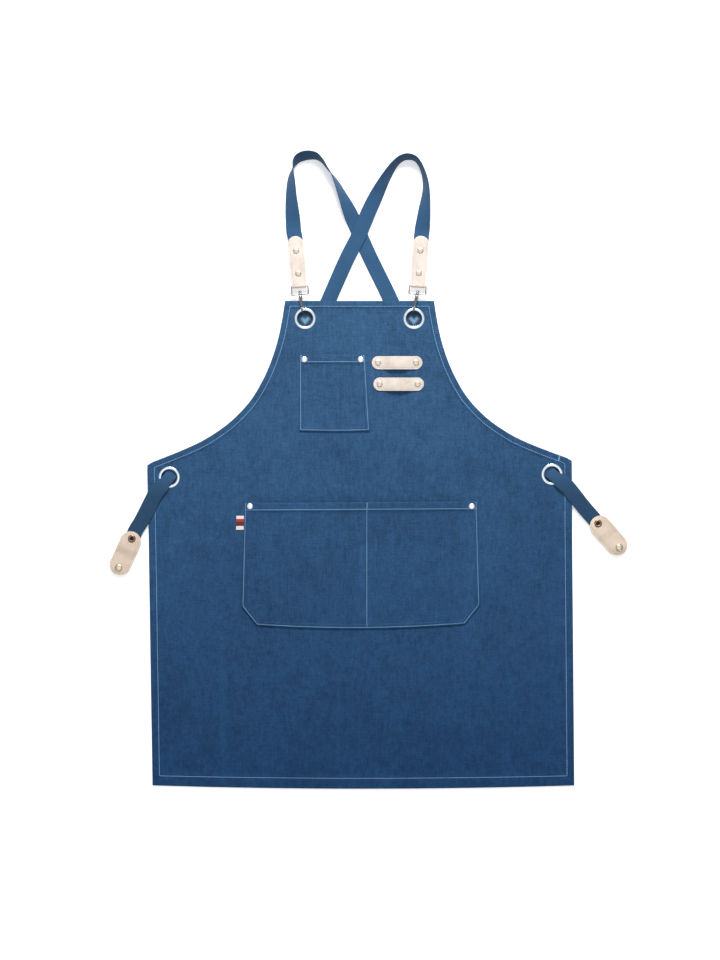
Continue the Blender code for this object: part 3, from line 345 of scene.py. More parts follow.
def bib_grommet_place(side):
    """Centre of a bib grommet."""
    return lay(side * (BIB_WIDTH / 2 - BIB_GROMMET_INSET), BIB_TOP - BIB_GROMMET_DROP)


def waist_grommet_place(side):
    """Centre of a waist grommet."""
    reach = WAIST_WIDTH / 2 - WAIST_GROMMET_INSET
    return lay(side * reach + WAIST_GROMMET_SLIP, WAIST_Y - WAIST_GROMMET_DROP)


# How far the raised ground round a grommet stays level, and where it ends
BIB_GROMMET_LEVEL = (0.031, 0.058)
WAIST_GROMMET_LEVEL = (0.036, 0.075)
RIVET_FALL = 0.015
POCKET_FALL = 0.045
BIB_FALL_TOP = 0.045
BIB_FALL_BEND = 0.090
BIB_FALL = 0.060


def underside(x, y):
    """Height of the panel's underside: up over the straps, hooks and rivet backs, else on the floor."""
    pocket = POCKET_RAISE * smooth((y - (POCKET_TOP - RIVET_FALL - POCKET_FALL)) / POCKET_FALL)
    edge = WAIST_Y + BIB_FALL_TOP - BIB_FALL_BEND * (x / (WAIST_WIDTH / 2 - WAIST_GROMMET_INSET)) ** 2
    height = pocket + (BIB_RAISE - POCKET_RAISE) * smooth((y - (edge - BIB_FALL)) / BIB_FALL)
    places = [(bib_grommet_place(side), BIB_GROMMET_LEVEL, BIB_GROMMET_RAISE) for side in (-1, 1)]
    places += [(waist_grommet_place(side), WAIST_GROMMET_LEVEL, WAIST_GROMMET_RAISE) for side in (-1, 1)]
    for (px, py), (level, end), raised in places:
        away = math.hypot(x - px, y - py)
        height = mix(height, raised, smooth((end - away) / (end - level)))
    return height


def chest_corner(across, down):
    """Point of the chest pocket: across 0 to 1 from its left edge, down in metres from its mouth."""
    width = mix(CHEST_TOP_WIDTH, CHEST_BOTTOM_WIDTH, down / CHEST_HEIGHT)
    return -CHEST_LEFT + across * width, BIB_TOP - CHEST_DROP - down


def chest_rivets():
    """Rivets at the chest pocket's mouth."""
    level = BIB_TOP - CHEST_DROP - CHEST_RIVET_DROP
    right = CHEST_TOP_WIDTH - CHEST_RIVET_INSETS[1]
    return [(-CHEST_LEFT + CHEST_RIVET_INSETS[0], level), (-CHEST_LEFT + right, level)]


def waist_rivets():
    """Rivets at the waist pocket's mouth."""
    reach = WAIST_POCKET_WIDTH / 2 - WAIST_RIVET_INSET
    return [(WAIST_POCKET_CENTRE + side * reach, POCKET_TOP - WAIST_RIVET_DROP) for side in (-1, 1)]


def loop_places():
    """Middles of the two tool loops, the upper first."""
    upper = (LOOP_CENTRE - LOOP_STAGGER / 2, BIB_TOP - LOOP_DROP)
    return [upper, (LOOP_CENTRE + LOOP_STAGGER / 2, BIB_TOP - LOOP_DROP - LOOP_PITCH)]


def loop_rivets():
    """Rivets of the tool loops, from the upper left to the lower right."""
    reach = LOOP_STRIP_LENGTH / 2 - LOOP_RIVET_INSET
    return [(x + side * reach, y) for x, y in loop_places() for side in (-1, 1)]


def crown(share, flat=4):
    """Rise across a pocket between two seams, full over most of it."""
    if not 0 < share < 1:
        return 0.0
    return 1 - abs(2 * share - 1) ** flat


def waist_pocket_half(down):
    """Half the waist pocket's width at a distance below its mouth, with its two cut corners."""
    half = WAIST_POCKET_WIDTH / 2 + WAIST_POCKET_FLARE * down / WAIST_POCKET_HEIGHT
    start = WAIST_POCKET_HEIGHT - WAIST_POCKET_RISE
    return half - WAIST_POCKET_CUT * max(0.0, (down - start) / WAIST_POCKET_RISE)


def pill_half(along, length, width):
    """Half width of a strip with round ends, at a distance from its end."""
    radius = width / 2
    near = min(along, length - along)
    if near >= radius:
        return radius
    return math.sqrt(max(0.0, radius ** 2 - (radius - near) ** 2))


def turned_frame(x, y, z, turn):
    """Frame at a point, turned about Z, in degrees."""
    return Matrix.Translation((x, y, z)) @ Matrix.Rotation(math.radians(turn), 4, "Z")


def swivel_frame(values):
    """Frame of a hook: origin at its swivel, local -Y towards its tip."""
    gx, gy = bib_grommet_place(values["side"])
    rim = math.radians(values["rim"])
    reach = GROMMET_HOLE - FIT - WIRE_RADIUS
    turn = math.radians(values["hook"])
    x = gx + reach * math.sin(rim) - HOOK_REACH * math.sin(turn)
    y = gy + reach * math.cos(rim) + HOOK_REACH * math.cos(turn)
    return turned_frame(x, y, HOOK_Z, values["hook"])


def frame_frame(values):
    """Frame of the hook's loop: origin at the bar in the leather fold, local +Y up the tab."""
    swivel = swivel_frame(values).translation
    turn = math.radians(values["tab"])
    x = swivel.x - FRAME_HEIGHT * math.sin(turn)
    y = swivel.y + FRAME_HEIGHT * math.cos(turn)
    return turned_frame(x, y, HOOK_Z, values["tab"])


def tab_frame(values):
    """Frame of a hook tab: as the loop's, tipped so that the tab's round end rests on the floor."""
    drop = HOOK_Z - STACK / 2 - FLOOR_GAP
    tip = math.asin(drop / HOOK_TAB_LENGTH)
    return frame_frame(values) @ Matrix.Rotation(-tip, 4, "X")


TAB_TURN_RADIUS = FRAME_WIRE + FIT + LEATHER / 2
TAB_REACH = HOOK_TAB_LENGTH - TAB_TURN_RADIUS - LEATHER / 2
TAB_RIVETS = (0.0213, 0.0590)
TAB_STRAP_END = 0.0125
STRAP_IN_HOOK_TAB = (0, 0.5, 0.86, 1.014)


def claw_line():
    """Middle line of the claw: under the cloth, up through the grommet and back over its rim."""
    drop = HOOK_DROP
    reach = HOOK_REACH
    bend = 1.3 * WIRE_RADIUS
    return (
        (-0.0045, 0.0),
        (-0.0075, -0.30 * drop),
        (-0.0100, -0.76 * drop),
        (-0.0130, -drop),
        (-reach + bend, -drop),
        (-reach + 0.3 * bend, -drop + 0.3 * bend),
        (-reach, -drop + bend),
        (-reach, 0.40 * drop),
        (-reach + 0.0008, 0.75 * drop),
        (-reach + 0.0026, 0.96 * drop),
        (-reach + 0.0046, 1.02 * drop),
        (-reach + 0.0072, 0.99 * drop),
        (-reach + 0.0080, 0.97 * drop),
    )


SOCKET_ALONG = 0.0116
STUD_ALONG = END_TAB_LENGTH - 0.0113
END_STRAP_DEPTH = 0.024
STRAP_IN_END_TAB = (-0.125, 0.125, 0.5, 1.0)
END_FOOT = STACK - STRAP_THICK - 2 * FIT + 0.0002


def end_tab_apex(values):
    """Where the end tab's upper end lies: past the waist grommet, along the strap's tail."""
    gx, gy = waist_grommet_place(values["side"])
    turn = math.radians(values["tail_turn"])
    return gx + values["tail"] * math.sin(turn), gy - values["tail"] * math.cos(turn)


def end_tab_frame(values):
    """Frame of an end tab: origin at its upper end on the tab's underside, local -Y towards its foot."""
    x, y = end_tab_apex(values)
    return turned_frame(x, y, END_TAB_RAISE, values["end_turn"])


def snap_foot():
    """Lower half of a snap's profile: shank and back cap."""
    return ((SHANK_RADIUS, -FIT), (BACK_RADIUS, -FIT), (BACK_RADIUS, -RIVET_BACK), (0, -RIVET_BACK))


def strap_route(name):
    """Points of a strap: (x, y, lift, tilt, width), from its hook tab to its end tab, and run marks."""
    values = SIDES[name]
    other = SIDES["right" if name == "left" else "left"]
    place = tab_frame(values)
    points = []
    for share in STRAP_IN_HOOK_TAB:
        spot = place @ Vector((0, mix(TAB_STRAP_END, TAB_REACH, share), 0))
        points.append((spot.x, spot.y, spot.z - STRAP_FLOOR, 0.0, STRAP_WIDTH))
    apex = place @ Vector((0, TAB_REACH + LEATHER, 0))
    base = apex.y
    table = LEFT_LOOP if name == "left" else RIGHT_LOOP
    for across, up, tilt in table:
        x = across * LOOP_SPREAD
        y = base + up * LOOP_HEIGHT
        lift = 0.0
        if name == "right":
            lift = CROSS_LIFT * smooth((CROSS_END - math.hypot(x, y - base)) / (CROSS_END - CROSS_LEVEL))
        if (across, up, tilt) == table[0]:
            lift = 0.9 * (apex.z - STRAP_FLOOR)
        points.append((x, y, lift, -math.radians(tilt), STRAP_WIDTH))
    loop_end = len(points)
    side = other["side"]
    gx, gy = waist_grommet_place(side)
    for across, drop in HIDDEN_RUN:
        points.append((across * gx, BIB_TOP - drop * (BIB_TOP - gy), 0.0, 0.0, STRAP_WIDTH))
    run_end = len(points)
    turn = math.radians(other["tail_turn"])
    along_dir = Vector((math.sin(turn), -math.cos(turn)))
    out_dir = Vector((math.cos(turn), math.sin(turn))) * side
    for along, outward, height, squeeze in TAIL_RUN:
        spot = Vector((gx, gy)) + along_dir * along * other["tail"] + out_dir * outward * other["tail"]
        width = STRAP_WIDTH * (1 - TAIL_SQUEEZE * squeeze)
        points.append((spot.x, spot.y, TAIL_RISE * height, 0.0, width))
    end = end_tab_frame(other)
    for share in STRAP_IN_END_TAB:
        spot = end @ Vector((0, -share * END_STRAP_DEPTH, STACK / 2))
        points.append((spot.x, spot.y, spot.z - STRAP_FLOOR, 0.0, STRAP_WIDTH))
    return points, loop_end, run_end


def strap_sections(name):
    """Sections of a strap, evenly spaced on smooth curves through its route."""
    points, loop_end, run_end = strap_route(name)
    places = [0.0]
    for before, after in zip(points, points[1:]):
        places.append(places[-1] + math.dist(before[:3], after[:3]))
    columns = list(zip(*points))
    slopes = [slopes_of(places, column, k > 1) for k, column in enumerate(columns)]
    stations = []
    bounds = (
        (0, loop_end - 1, LOOP_SPACING),
        (loop_end - 1, run_end, RUN_SPACING),
        (run_end, len(points) - 1, TAIL_SPACING),
    )
    for first, last, spacing in bounds:
        length = places[last] - places[first]
        count = max(1, round(length / spacing))
        stations += [mix(places[first], places[last], k / count) for k in range(count)]
    stations.append(places[-1])
    curves = list(zip(columns, slopes))
    rows = [[curve_value(places, column, slope, s) for column, slope in curves] for s in stations]
    for row in rows:
        row[2] += FLOOR_GAP + row[4] / 2 * abs(math.sin(row[3])) + STRAP_THICK / 2 * abs(math.cos(row[3]))
    sections = []
    for k, (x, y, z, tilt, width) in enumerate(rows):
        before = Vector(rows[max(0, k - 1)][:3])
        after = Vector(rows[min(len(rows) - 1, k + 1)][:3])
        along = (after - before).normalized()
        level = Vector((0, 0, 1)).cross(along).normalized()
        up = along.cross(level)
        side = level * math.cos(tilt) + up * math.sin(tilt)
        normal = up * math.cos(tilt) - level * math.sin(tilt)
        sections.append((Vector((x, y, z)), side * width / 2, normal * STRAP_THICK / 2))
    return sections


# Detail that only the scene has, from here on

# Columns: waves in a metre, layer of the noise, height
CLOTH_WAVES = (
    (7, 1.7, 0.00055),
    (38, 5.1, 0.00016),
)

# Hems and seams
TOP_HEM = 0.0104
ARMHOLE_HEM = 0.0108
SIDE_HEM = 0.0135
FOOT_HEM = 0.0185
HEM_SHARES = (0, 0.02, 0.06, 0.12, 0.30, 0.55, 0.78, 0.88, 0.96, 1.0, 1.08, 1.16)
HEM_FALL_SHARE = 0.16
STITCH_SHARE = 0.88
SEAM_INSET = 0.0021
SEAM_FALL = 0.0012
POCKET_TAPER = 1.2
MOUTH_STITCH = 0.0116
WAIST_POCKET_SLANT = 0.006
CHEST_FOOT_BOW = 0.0012
HOLE_FROM = -0.02
HOLE_TO = 0.03
SEAM_STEPS = (0, 0.0002, 0.0006, 0.0012, 0.0018, 0.0024, 0.0032, 0.0045, 0.006, 0.0072)
MOUTH_STEPS = (0, 0.0002, 0.0006, 0.0012, 0.004, 0.008, 0.0106, 0.0116, 0.0126, 0.0138, 0.0150)
CENTRE_STEPS = (-0.012, -0.006, -0.003, -0.0014, 0, 0.0014, 0.003, 0.006, 0.012)

# Label
LABEL_ROW = 0.0012
LABEL_COLUMNS = 12
LABEL_CURL = 0.0007

# Stitches
STITCH_PITCH = 0.0034
STITCH_LENGTH = 0.0029
STITCH_HALF = 0.00052
STITCH_RISE = 0.00034
STITCH_SUNK = 0.4
STITCH_DIP = 0.0003
STITCH_SIDES = 6
DIP_REACH = 0.0009
SEAM_START = 0.0006
SEAM_WALK = 0.004
MOUTH_WALK = 0.006
TACK_ASIDE = 0.0016
TACK_DOWN = 0.011
TACK_PITCH = 0.0024
BAR_INSET = 0.0215
BAR_DROP = -0.0028
BAR_LEAN = 0.0012
BAR_HALF = 0.005
BAR_ROWS = (0.0, 0.0011)
SEAM_TACK_DOWN = 0.009

# A bar tack's stitch: half width, pitch, length
BAR_STITCH = (0.0006, 0.0013, 0.0018)

# Columns: share of the stitch's length, size, rise (share of STITCH_RISE)
STITCH_FORM = (
    (0.0, 0.35, -0.2),
    (0.2, 0.90, 0.7),
    (0.5, 1.00, 1.0),
    (0.8, 0.90, 0.7),
    (1.0, 0.35, -0.2),
)

# Leather, webbing and metal
EDGE_RADIUS = 0.0007
STRAP_EDGE = 0.0006
LOOP_BOW = 0.0006
ARCH_STEEPNESS = 2.6
END_PINCH = 0.004
END_PINCH_RUN = 0.016
RIM_INSET = 0.0003
NECK_PLAY = 0.0006
SNAP_ROLL = 0.0015
RECESS_SHARE = 1.1
SNAP_RIM = ((0.77, 0.45), (0.84, 0.62), (0.92, 0.55), (0.97, 0.3), (0.97, 0))
FRAME_FLAT = 1.3
LOOP_RIVET_NAMES = ("upper_left", "upper_right", "lower_left", "lower_right")

# Colours, linear
# CANVAS_HIGH at the bib and CANVAS_LOW at the hem: the fall between them is partly the cloth's own tone,
# partly painted fall-off of the light from the top
CANVAS_HIGH = (0.037, 0.100, 0.205)
CANVAS_LOW = (0.0125, 0.050, 0.129)
WEBBING = (0.031, 0.094, 0.196)
THREAD = (0.19, 0.37, 0.58)
PALE_LEATHER = (0.735, 0.635, 0.56)
TAN_LEATHER = (0.70, 0.565, 0.455)
TAPE_WHITE = (0.72, 0.68, 0.62)
# Painted shade on the floor under the eyelets, and the painted pool of light in it
SHADE_DEEP = (0.018, 0.048, 0.090)
SHADE_LIT = (0.15, 0.28, 0.42)

# Columns: name of the material, colour, roughness, share of darker tarnish
METALS = (
    ("cap_plate", (0.74, 0.76, 0.78), 0.36, 0.0),
    ("warm_cap_plate", (0.60, 0.535, 0.45), 0.36, 0.0),
    ("ring_plate", (0.62, 0.69, 0.76), 0.28, 0.0),
    ("wire_plate", (0.40, 0.385, 0.37), 0.40, 0.0),
    # The gates' plate: darker than the hook's, as painted shade where the gate lies in shadow
    ("gate_painted_shade_plate", (0.16, 0.145, 0.135), 0.28, 0.6),
    ("dark_bronze", (0.27, 0.185, 0.13), 0.38, 0.5),
    ("pale_brass", (0.62, 0.55, 0.40), 0.36, 0.0),
    # Near-black painted shade for the snap socket's recess
    ("recess_painted_shade", (0.035, 0.020, 0.014), 0.5, 0.0),
    ("smoked_plate", (0.46, 0.45, 0.44), 0.2, 0.5),
)

# Columns: place of a stripe's start on the label (share), colour
STRIPES = (
    (0.00, TAPE_WHITE),
    (0.22, (0.46, 0.022, 0.028)),
    (0.42, (0.11, 0.012, 0.020)),
    # A band of painted shadow above the lower white stripe
    (0.64, (0.035, 0.014, 0.020)),
    (0.73, TAPE_WHITE),
)

# Columns: where an old fold mark runs down the skirt, its lean
FOLD_MARKS = ((-0.228, 0.02), (-0.036, 0.0), (0.250, -0.05))
FOLD_MARK_HALF = 0.013
FOLD_MARK_SHARE = 0.34

# Pitches of the weaves
CANVAS_PITCH = 0.0011
RIB_PITCH = 0.0017
ROW_PITCH = 0.0021
TAPE_PITCH = 0.0007

# Painted shade on the floor, seen in the eyelets, and the painted pool of light in it
SHADE_REACH = 0.017
PATCH_ASIDE = 0.0045
PATCH_TOP = 0.0052
PATCH_FOOT = 0.0122
PATCH_TOP_SLOPE = 0.7
PATCH_FOOT_SLOPE = 1.15
PATCH_SOFT = (0.0050, 0.0060)

# Studio
CAMERA_PLACE = (0.0008, 0.1076, 4.0)
CAMERA_LENS = 90.35
FLOOR_REACH = 40.0
FLOOR_LEVEL = -0.0002
FLOOR_GLOW = 0.30


def lift(x, y):
    """Soft unevenness of cloth that lies on a floor."""
    total = 0.0
    for rate, layer, high in CLOTH_WAVES:
        total += high * (0.5 + noise.noise(Vector((rate * x, rate * y, layer))))
    return total


def empty_shape():
    """Points, faces and texture places of a piece that is being made."""
    return {"verts": [], "faces": [], "uvs": []}


def add_rings(shape, rings, closed=False, along=None, across=None):
    """Tube or band through rings of points, capped unless it closes on itself."""
    base = len(shape["verts"])
    sides = len(rings[0])
    for k, ring in enumerate(rings):
        shape["verts"] += [tuple(point) for point in ring]
        for m in range(sides):
            shape["uvs"].append((along[k] if along else 0.0, across[m] if across else 0.0))
    pairs = [(k, k + 1) for k in range(len(rings) - 1)]
    if closed:
        pairs.append((len(rings) - 1, 0))
    for near, far in pairs:
        for m in range(sides):
            n = (m + 1) % sides
            shape["faces"].append((base + near * sides + m, base + near * sides + n,
                                   base + far * sides + n, base + far * sides + m))
    if not closed:
        shape["faces"].append(tuple(base + m for m in reversed(range(sides))))
        last = base + (len(rings) - 1) * sides
        shape["faces"].append(tuple(last + m for m in range(sides)))


def add_slab(shape, upper, lower, depths):
    """Closed sheet between two grids of points, with each point's depth from the nearest edge."""
    rows = len(upper)
    columns = len(upper[0])
    base = len(shape["verts"])
    for grid in (upper, lower):
        for row, deep in zip(grid, depths):
            shape["verts"] += [tuple(point) for point in row]
            shape["uvs"] += [(depth, 0.0) for depth in deep]
    half = rows * columns

    def top(i, j):
        return base + i * columns + j

    for i in range(rows - 1):
        for j in range(columns - 1):
            quad = (top(i, j), top(i + 1, j), top(i + 1, j + 1), top(i, j + 1))
            shape["faces"].append(quad)
            shape["faces"].append(tuple(half + v for v in reversed(quad)))
    rim = [top(0, j) for j in range(columns)] + [top(i, columns - 1) for i in range(1, rows)]
    rim += [top(rows - 1, j) for j in range(columns - 2, -1, -1)]
    rim += [top(i, 0) for i in range(rows - 2, 0, -1)]
    for a, b in zip(rim, rim[1:] + rim[:1]):
        shape["faces"].append((a, b, half + b, half + a))


def add_lathe(shape, profile, segments, place, ring=False):
    """Turned form round the place's Z axis. A ring's profile is a closed loop of (radius, height)."""
    base = len(shape["verts"])
    count = len(profile)
    for s in range(segments):
        angle = math.tau * s / segments
        for radius, height in profile:
            point = place @ Vector((radius * math.cos(angle), radius * math.sin(angle), height))
            shape["verts"].append(tuple(point))
            shape["uvs"].append((angle, height))
    steps = count if ring else count - 1
    for s in range(segments):
        near = base + s * count
        far = base + (s + 1) % segments * count
        for k in range(steps):
            m = (k + 1) % count
            shape["faces"].append((near + k, far + k, far + m, near + m))


def rounded_section(half_width, half_thick, radius, steps=3):
    """Outline of a band with rounded edges, as (across, up)."""
    radius = min(radius, half_width * 0.98, half_thick * 0.98)
    outline = []
    for cx, cz, start in ((1, 1, 0), (-1, 1, 90), (-1, -1, 180), (1, -1, 270)):
        for k in range(steps + 1):
            angle = math.radians(start + 90 * k / steps)
            outline.append((cx * (half_width - radius) + radius * math.cos(angle),
                            cz * (half_thick - radius) + radius * math.sin(angle)))
    return outline


def band_ring(middle, side, up, half, thick=LEATHER, radius=EDGE_RADIUS):
    """Ring of points round a band with rounded edges."""
    return [middle + side * across + up * high for across, high in rounded_section(half, thick / 2, radius)]


def oval_ring(middle, first, second, sides):
    """Ring of points round an oval with two half axes."""
    angles = [math.tau * m / sides for m in range(sides)]
    return [middle + first * math.cos(angle) + second * math.sin(angle) for angle in angles]


def arc(radius, start, end, step, centre=(0, 0), high=None):
    """Points on an arc in degrees, round a centre; high is the other half axis of an oval."""
    turns = [math.radians(angle) for angle in range(start, end, step)]
    tall = radius if high is None else high
    return [(centre[0] + radius * math.cos(turn), centre[1] + tall * math.sin(turn)) for turn in turns]


def dome(radius, foot, height):
    """Profile of a dome from its top to its foot."""
    turns = [math.radians(angle) for angle in range(0, 91, 10)]
    return [(radius * math.sin(turn), foot + height * math.cos(turn)) for turn in turns]


def curve_normal(points, k):
    """Normal, in the YZ plane, of a line of points there."""
    before = points[max(0, k - 1)]
    after = points[min(len(points) - 1, k + 1)]
    along = Vector((0, after[0] - before[0], after[1] - before[1])).normalized()
    return Vector((1, 0, 0)).cross(along)


def steps_between(start, end, spacing):
    """Even places from start to end."""
    count = max(1, round(abs(end - start) / spacing))
    return [mix(start, end, k / count) for k in range(count + 1)]


def lying(place, y=0.0):
    """Frame whose Z axis runs along the place's Y axis, at a point on it."""
    return place @ Matrix.Translation((0, y, 0)) @ Matrix.Rotation(math.radians(-90), 4, "X")


def curve_through(points, per_step):
    """Smooth line through points, in even steps of their order."""
    places = list(range(len(points)))
    columns = list(zip(*points))
    slopes = [slopes_of(places, column, False) for column in columns]
    curves = list(zip(columns, slopes))
    line = []
    for place in steps_between(0, len(points) - 1, 1 / per_step):
        line.append(tuple(curve_value(places, column, slope, place) for column, slope in curves))
    return line


def closed_mesh(mesh):
    """Mesh with its double points joined and its faces turned outwards."""
    bm = bmesh.new()
    bm.from_mesh(mesh)
    bmesh.ops.remove_doubles(bm, verts=bm.verts, dist=1e-7)
    bmesh.ops.recalc_face_normals(bm, faces=bm.faces)
    bm.to_mesh(mesh)
    bm.free()


def finish_piece(name, shape, finish, replaced=(), body="root", sharp=40):
    """Object from a shape, riding on its body."""
    mesh = bpy.data.meshes.new(name)
    mesh.from_pydata(shape["verts"], [], shape["faces"])
    layer = mesh.uv_layers.new(name="UVMap")
    corners = [0] * len(mesh.loops)
    mesh.loops.foreach_get("vertex_index", corners)
    flat = [value for corner in corners for value in shape["uvs"][corner]]
    layer.data.foreach_set("uv", flat)
    closed_mesh(mesh)
    mesh.materials.append(finish)
    mesh.shade_smooth()
    mesh.set_sharp_from_angle(angle=math.radians(sharp))
    piece = bpy.data.objects.new(name, mesh)
    bpy.context.scene.collection.objects.link(piece)
    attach(piece, body)
    if replaced:
        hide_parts(*replaced)
    return piece


def new_material(name):
    """Material with its shader and node tree."""
    made = bpy.data.materials.new(name)
    made.use_nodes = True
    return made, made.node_tree, made.node_tree.nodes["Principled BSDF"]


def node(tree, kind, values=None, **settings):
    """Node with its settings and unlinked values."""
    made = tree.nodes.new(kind)
    for key, value in settings.items():
        setattr(made, key, value)
    for key, value in (values or {}).items():
        made.inputs[key].default_value = value
    return made


def math_node(tree, operation, first, second):
    """Maths on two values, each a socket or a number."""
    made = node(tree, "ShaderNodeMath", operation=operation)
    for k, value in enumerate((first, second)):
        if isinstance(value, (int, float)):
            made.inputs[k].default_value = value
        else:
            tree.links.new(value, made.inputs[k])
    return made.outputs[0]


def product(tree, *values):
    """Values multiplied in turn."""
    total = values[0]
    for value in values[1:]:
        total = math_node(tree, "MULTIPLY", total, value)
    return total


def plus(tree, total, field, share=1.0):
    """Value with a share of a field added."""
    return math_node(tree, "ADD", total, field if share == 1.0 else product(tree, field, share))


def uneven(tree, total, fields):
    """Value moved up and down by fields that run from 0 to 1, each by its own amount."""
    for field, amount in fields:
        total = plus(tree, total, math_node(tree, "SUBTRACT", field, 0.5), amount)
    return total


def axes_of(tree, vector):
    """The X, Y and Z of a vector."""
    made = node(tree, "ShaderNodeSeparateXYZ")
    tree.links.new(vector, made.inputs[0])
    return made.outputs


def noise_field(tree, vector, scale, stretch=(1, 1, 1), detail=3.0, rough=0.55, warp=0.0):
    """Noise from 0 to 1, stretched along the axes."""
    mapping = node(tree, "ShaderNodeMapping")
    mapping.inputs["Scale"].default_value = stretch
    tree.links.new(vector, mapping.inputs["Vector"])
    made = node(tree, "ShaderNodeTexNoise",
                {"Scale": scale, "Detail": detail, "Roughness": rough, "Distortion": warp})
    tree.links.new(mapping.outputs[0], made.inputs["Vector"])
    return made.outputs["Fac"]


def band_field(tree, vector, direction, period):
    """Even waves along one axis, from 0 to 1, with a period in metres."""
    made = node(tree, "ShaderNodeTexWave", {"Scale": math.tau / 20 / period, "Distortion": 0.0},
                wave_type="BANDS", bands_direction=direction, wave_profile="SIN")
    tree.links.new(vector, made.inputs["Vector"])
    return made.outputs["Fac"]


def ranged(tree, value, low, high, out_low=0.0, out_high=1.0):
    """Value taken from one range to another, held at the ends."""
    made = node(tree, "ShaderNodeMapRange",
                {"From Min": low, "From Max": high, "To Min": out_low, "To Max": out_high})
    tree.links.new(value, made.inputs["Value"])
    return made.outputs[0]


def mixed(tree, share, first, second):
    """Colour between two, each a socket or a colour."""
    made = node(tree, "ShaderNodeMix", data_type="RGBA")
    for socket, value in ((made.inputs[6], first), (made.inputs[7], second)):
        if isinstance(value, tuple):
            socket.default_value = (*value, 1)
        else:
            tree.links.new(value, socket)
    tree.links.new(share, made.inputs[0])
    return made.outputs[2]


def brightened(tree, colour, value):
    """Colour, a socket or a constant, with its brightness multiplied."""
    made = node(tree, "ShaderNodeHueSaturation")
    if isinstance(colour, tuple):
        made.inputs["Color"].default_value = (*colour, 1)
    else:
        tree.links.new(colour, made.inputs["Color"])
    tree.links.new(value, made.inputs["Value"])
    return made.outputs[0]


def bumped(tree, shader, height, strength, distance):
    """Bump on a shader from a height."""
    made = node(tree, "ShaderNodeBump", {"Strength": strength, "Distance": distance})
    tree.links.new(height, made.inputs["Height"])
    tree.links.new(made.outputs[0], shader.inputs["Normal"])


def canvas_material(name, worn=1.0):
    """Plain-woven cotton: slubs, uneven dye, old fold marks, edges rubbed paler, and a tone that darkens
    from the bib to the hem, partly the cloth's own and partly painted fall-off of the light.

    U holds the depth from an edge. worn is how strongly the fold marks show.
    """
    made, tree, shader = new_material(name)
    coords = node(tree, "ShaderNodeTexCoord")
    place = coords.outputs["Object"]
    axes = axes_of(tree, place)
    depth = axes_of(tree, coords.outputs["UV"])["X"]
    # Lighter at the bib, darker at the hem: partly the cloth's own tone, partly painted fall-off of the
    # light
    tone = mixed(tree, ranged(tree, axes["Y"], -0.38, 0.38), CANVAS_LOW, CANVAS_HIGH)
    weft = noise_field(tree, place, 1.0, (120, 640, 100), 3.0, 0.65)
    warp = noise_field(tree, place, 1.0, (640, 120, 100), 3.0, 0.65)
    slub = noise_field(tree, place, 1.0, (40, 330, 30), 3.0)
    slub_up = noise_field(tree, place, 1.0, (330, 34, 30), 3.0)
    grain = noise_field(tree, place, 420.0, detail=3.0, rough=0.7)
    cloud = noise_field(tree, place, 30.0, detail=6.0, rough=0.7)
    wide = noise_field(tree, place, 6.0, (1.3, 0.8, 1), 3.0, 0.5)
    fleck = noise_field(tree, place, 230.0, detail=2.0)
    blotch = noise_field(tree, place, 95.0, (1.3, 0.7, 1), 4.0, 0.65)
    total = uneven(tree, 1.0, (
        (weft, 0.46), (warp, 0.50), (slub, 0.36), (slub_up, 0.50), (grain, 0.30),
        (fleck, 0.46), (blotch, 0.62), (cloud, 0.60), (wide, 0.46),
    ))
    streak = ranged(tree, noise_field(tree, place, 1.0, (20, 3.0, 1), 4.0, 0.6), 0.42, 0.66)
    below = ranged(tree, axes["Y"], -0.02, -0.18)
    for middle, lean in FOLD_MARKS:
        bent = product(tree, math_node(tree, "ADD", axes["Y"], 0.25), lean)
        off = math_node(tree, "SUBTRACT", plus(tree, axes["X"], bent), middle)
        near = ranged(tree, math_node(tree, "ABSOLUTE", off, 0), 0.0, FOLD_MARK_HALF, 1.0, 0.0)
        total = plus(tree, total, product(tree, near, near, streak, below), FOLD_MARK_SHARE * worn)
    fold = ranged(tree, depth, 0.0002, 0.0013, 0.34, 0.0)
    total = plus(tree, total, product(tree, fold, ranged(tree, grain, 0.3, 0.7, 0.4, 1.0)))
    tree.links.new(brightened(tree, tone, total), shader.inputs["Base Color"])
    shader.inputs["Roughness"].default_value = 0.92
    shader.inputs["Specular IOR Level"].default_value = 0.12
    shader.inputs["Sheen Weight"].default_value = 0.05
    shader.inputs["Sheen Roughness"].default_value = 0.5
    shader.inputs["Sheen Tint"].default_value = (0.55, 0.70, 0.90, 1)
    height = product(tree, *[band_field(tree, place, axis, CANVAS_PITCH) for axis in "XY"])
    for field, amount in ((weft, 1.6), (warp, 1.6), (cloud, 5.0)):
        height = plus(tree, height, field, amount)
    bumped(tree, shader, height, 0.7, 0.0006)
    return made


def webbing_material(name, colour):
    """Webbing: fine ribs and paler fibres, darker on the tails, and painted shade at the top of the loops.
    """
    made, tree, shader = new_material(name)
    coords = node(tree, "ShaderNodeTexCoord")
    place = coords.outputs["UV"]
    level = axes_of(tree, coords.outputs["Object"])["Y"]
    fibre = noise_field(tree, place, 1.0, (1300, 420, 1), 3.0)
    cloud = noise_field(tree, place, 45.0, detail=4.0)
    weave = product(tree, band_field(tree, place, "X", RIB_PITCH), band_field(tree, place, "Y", ROW_PITCH))
    total = uneven(tree, plus(tree, 0.86, weave, 0.22), ((fibre, 0.45), (cloud, 0.25)))
    tails = ranged(tree, level, 0.08, 0.135, 0.64, 1.0)
    # Painted shade: the tops of the loops darker, where the webbing turns away from the light
    loops = ranged(tree, level, 0.600, 0.645, 1.0, 0.80)
    total = product(tree, total, tails, loops)
    tree.links.new(brightened(tree, colour, total), shader.inputs["Base Color"])
    shader.inputs["Roughness"].default_value = 0.85
    shader.inputs["Specular IOR Level"].default_value = 0.2
    shader.inputs["Sheen Weight"].default_value = 0.08
    bumped(tree, shader, plus(tree, weave, fibre, 0.6), 0.6, 0.0005)
    return made


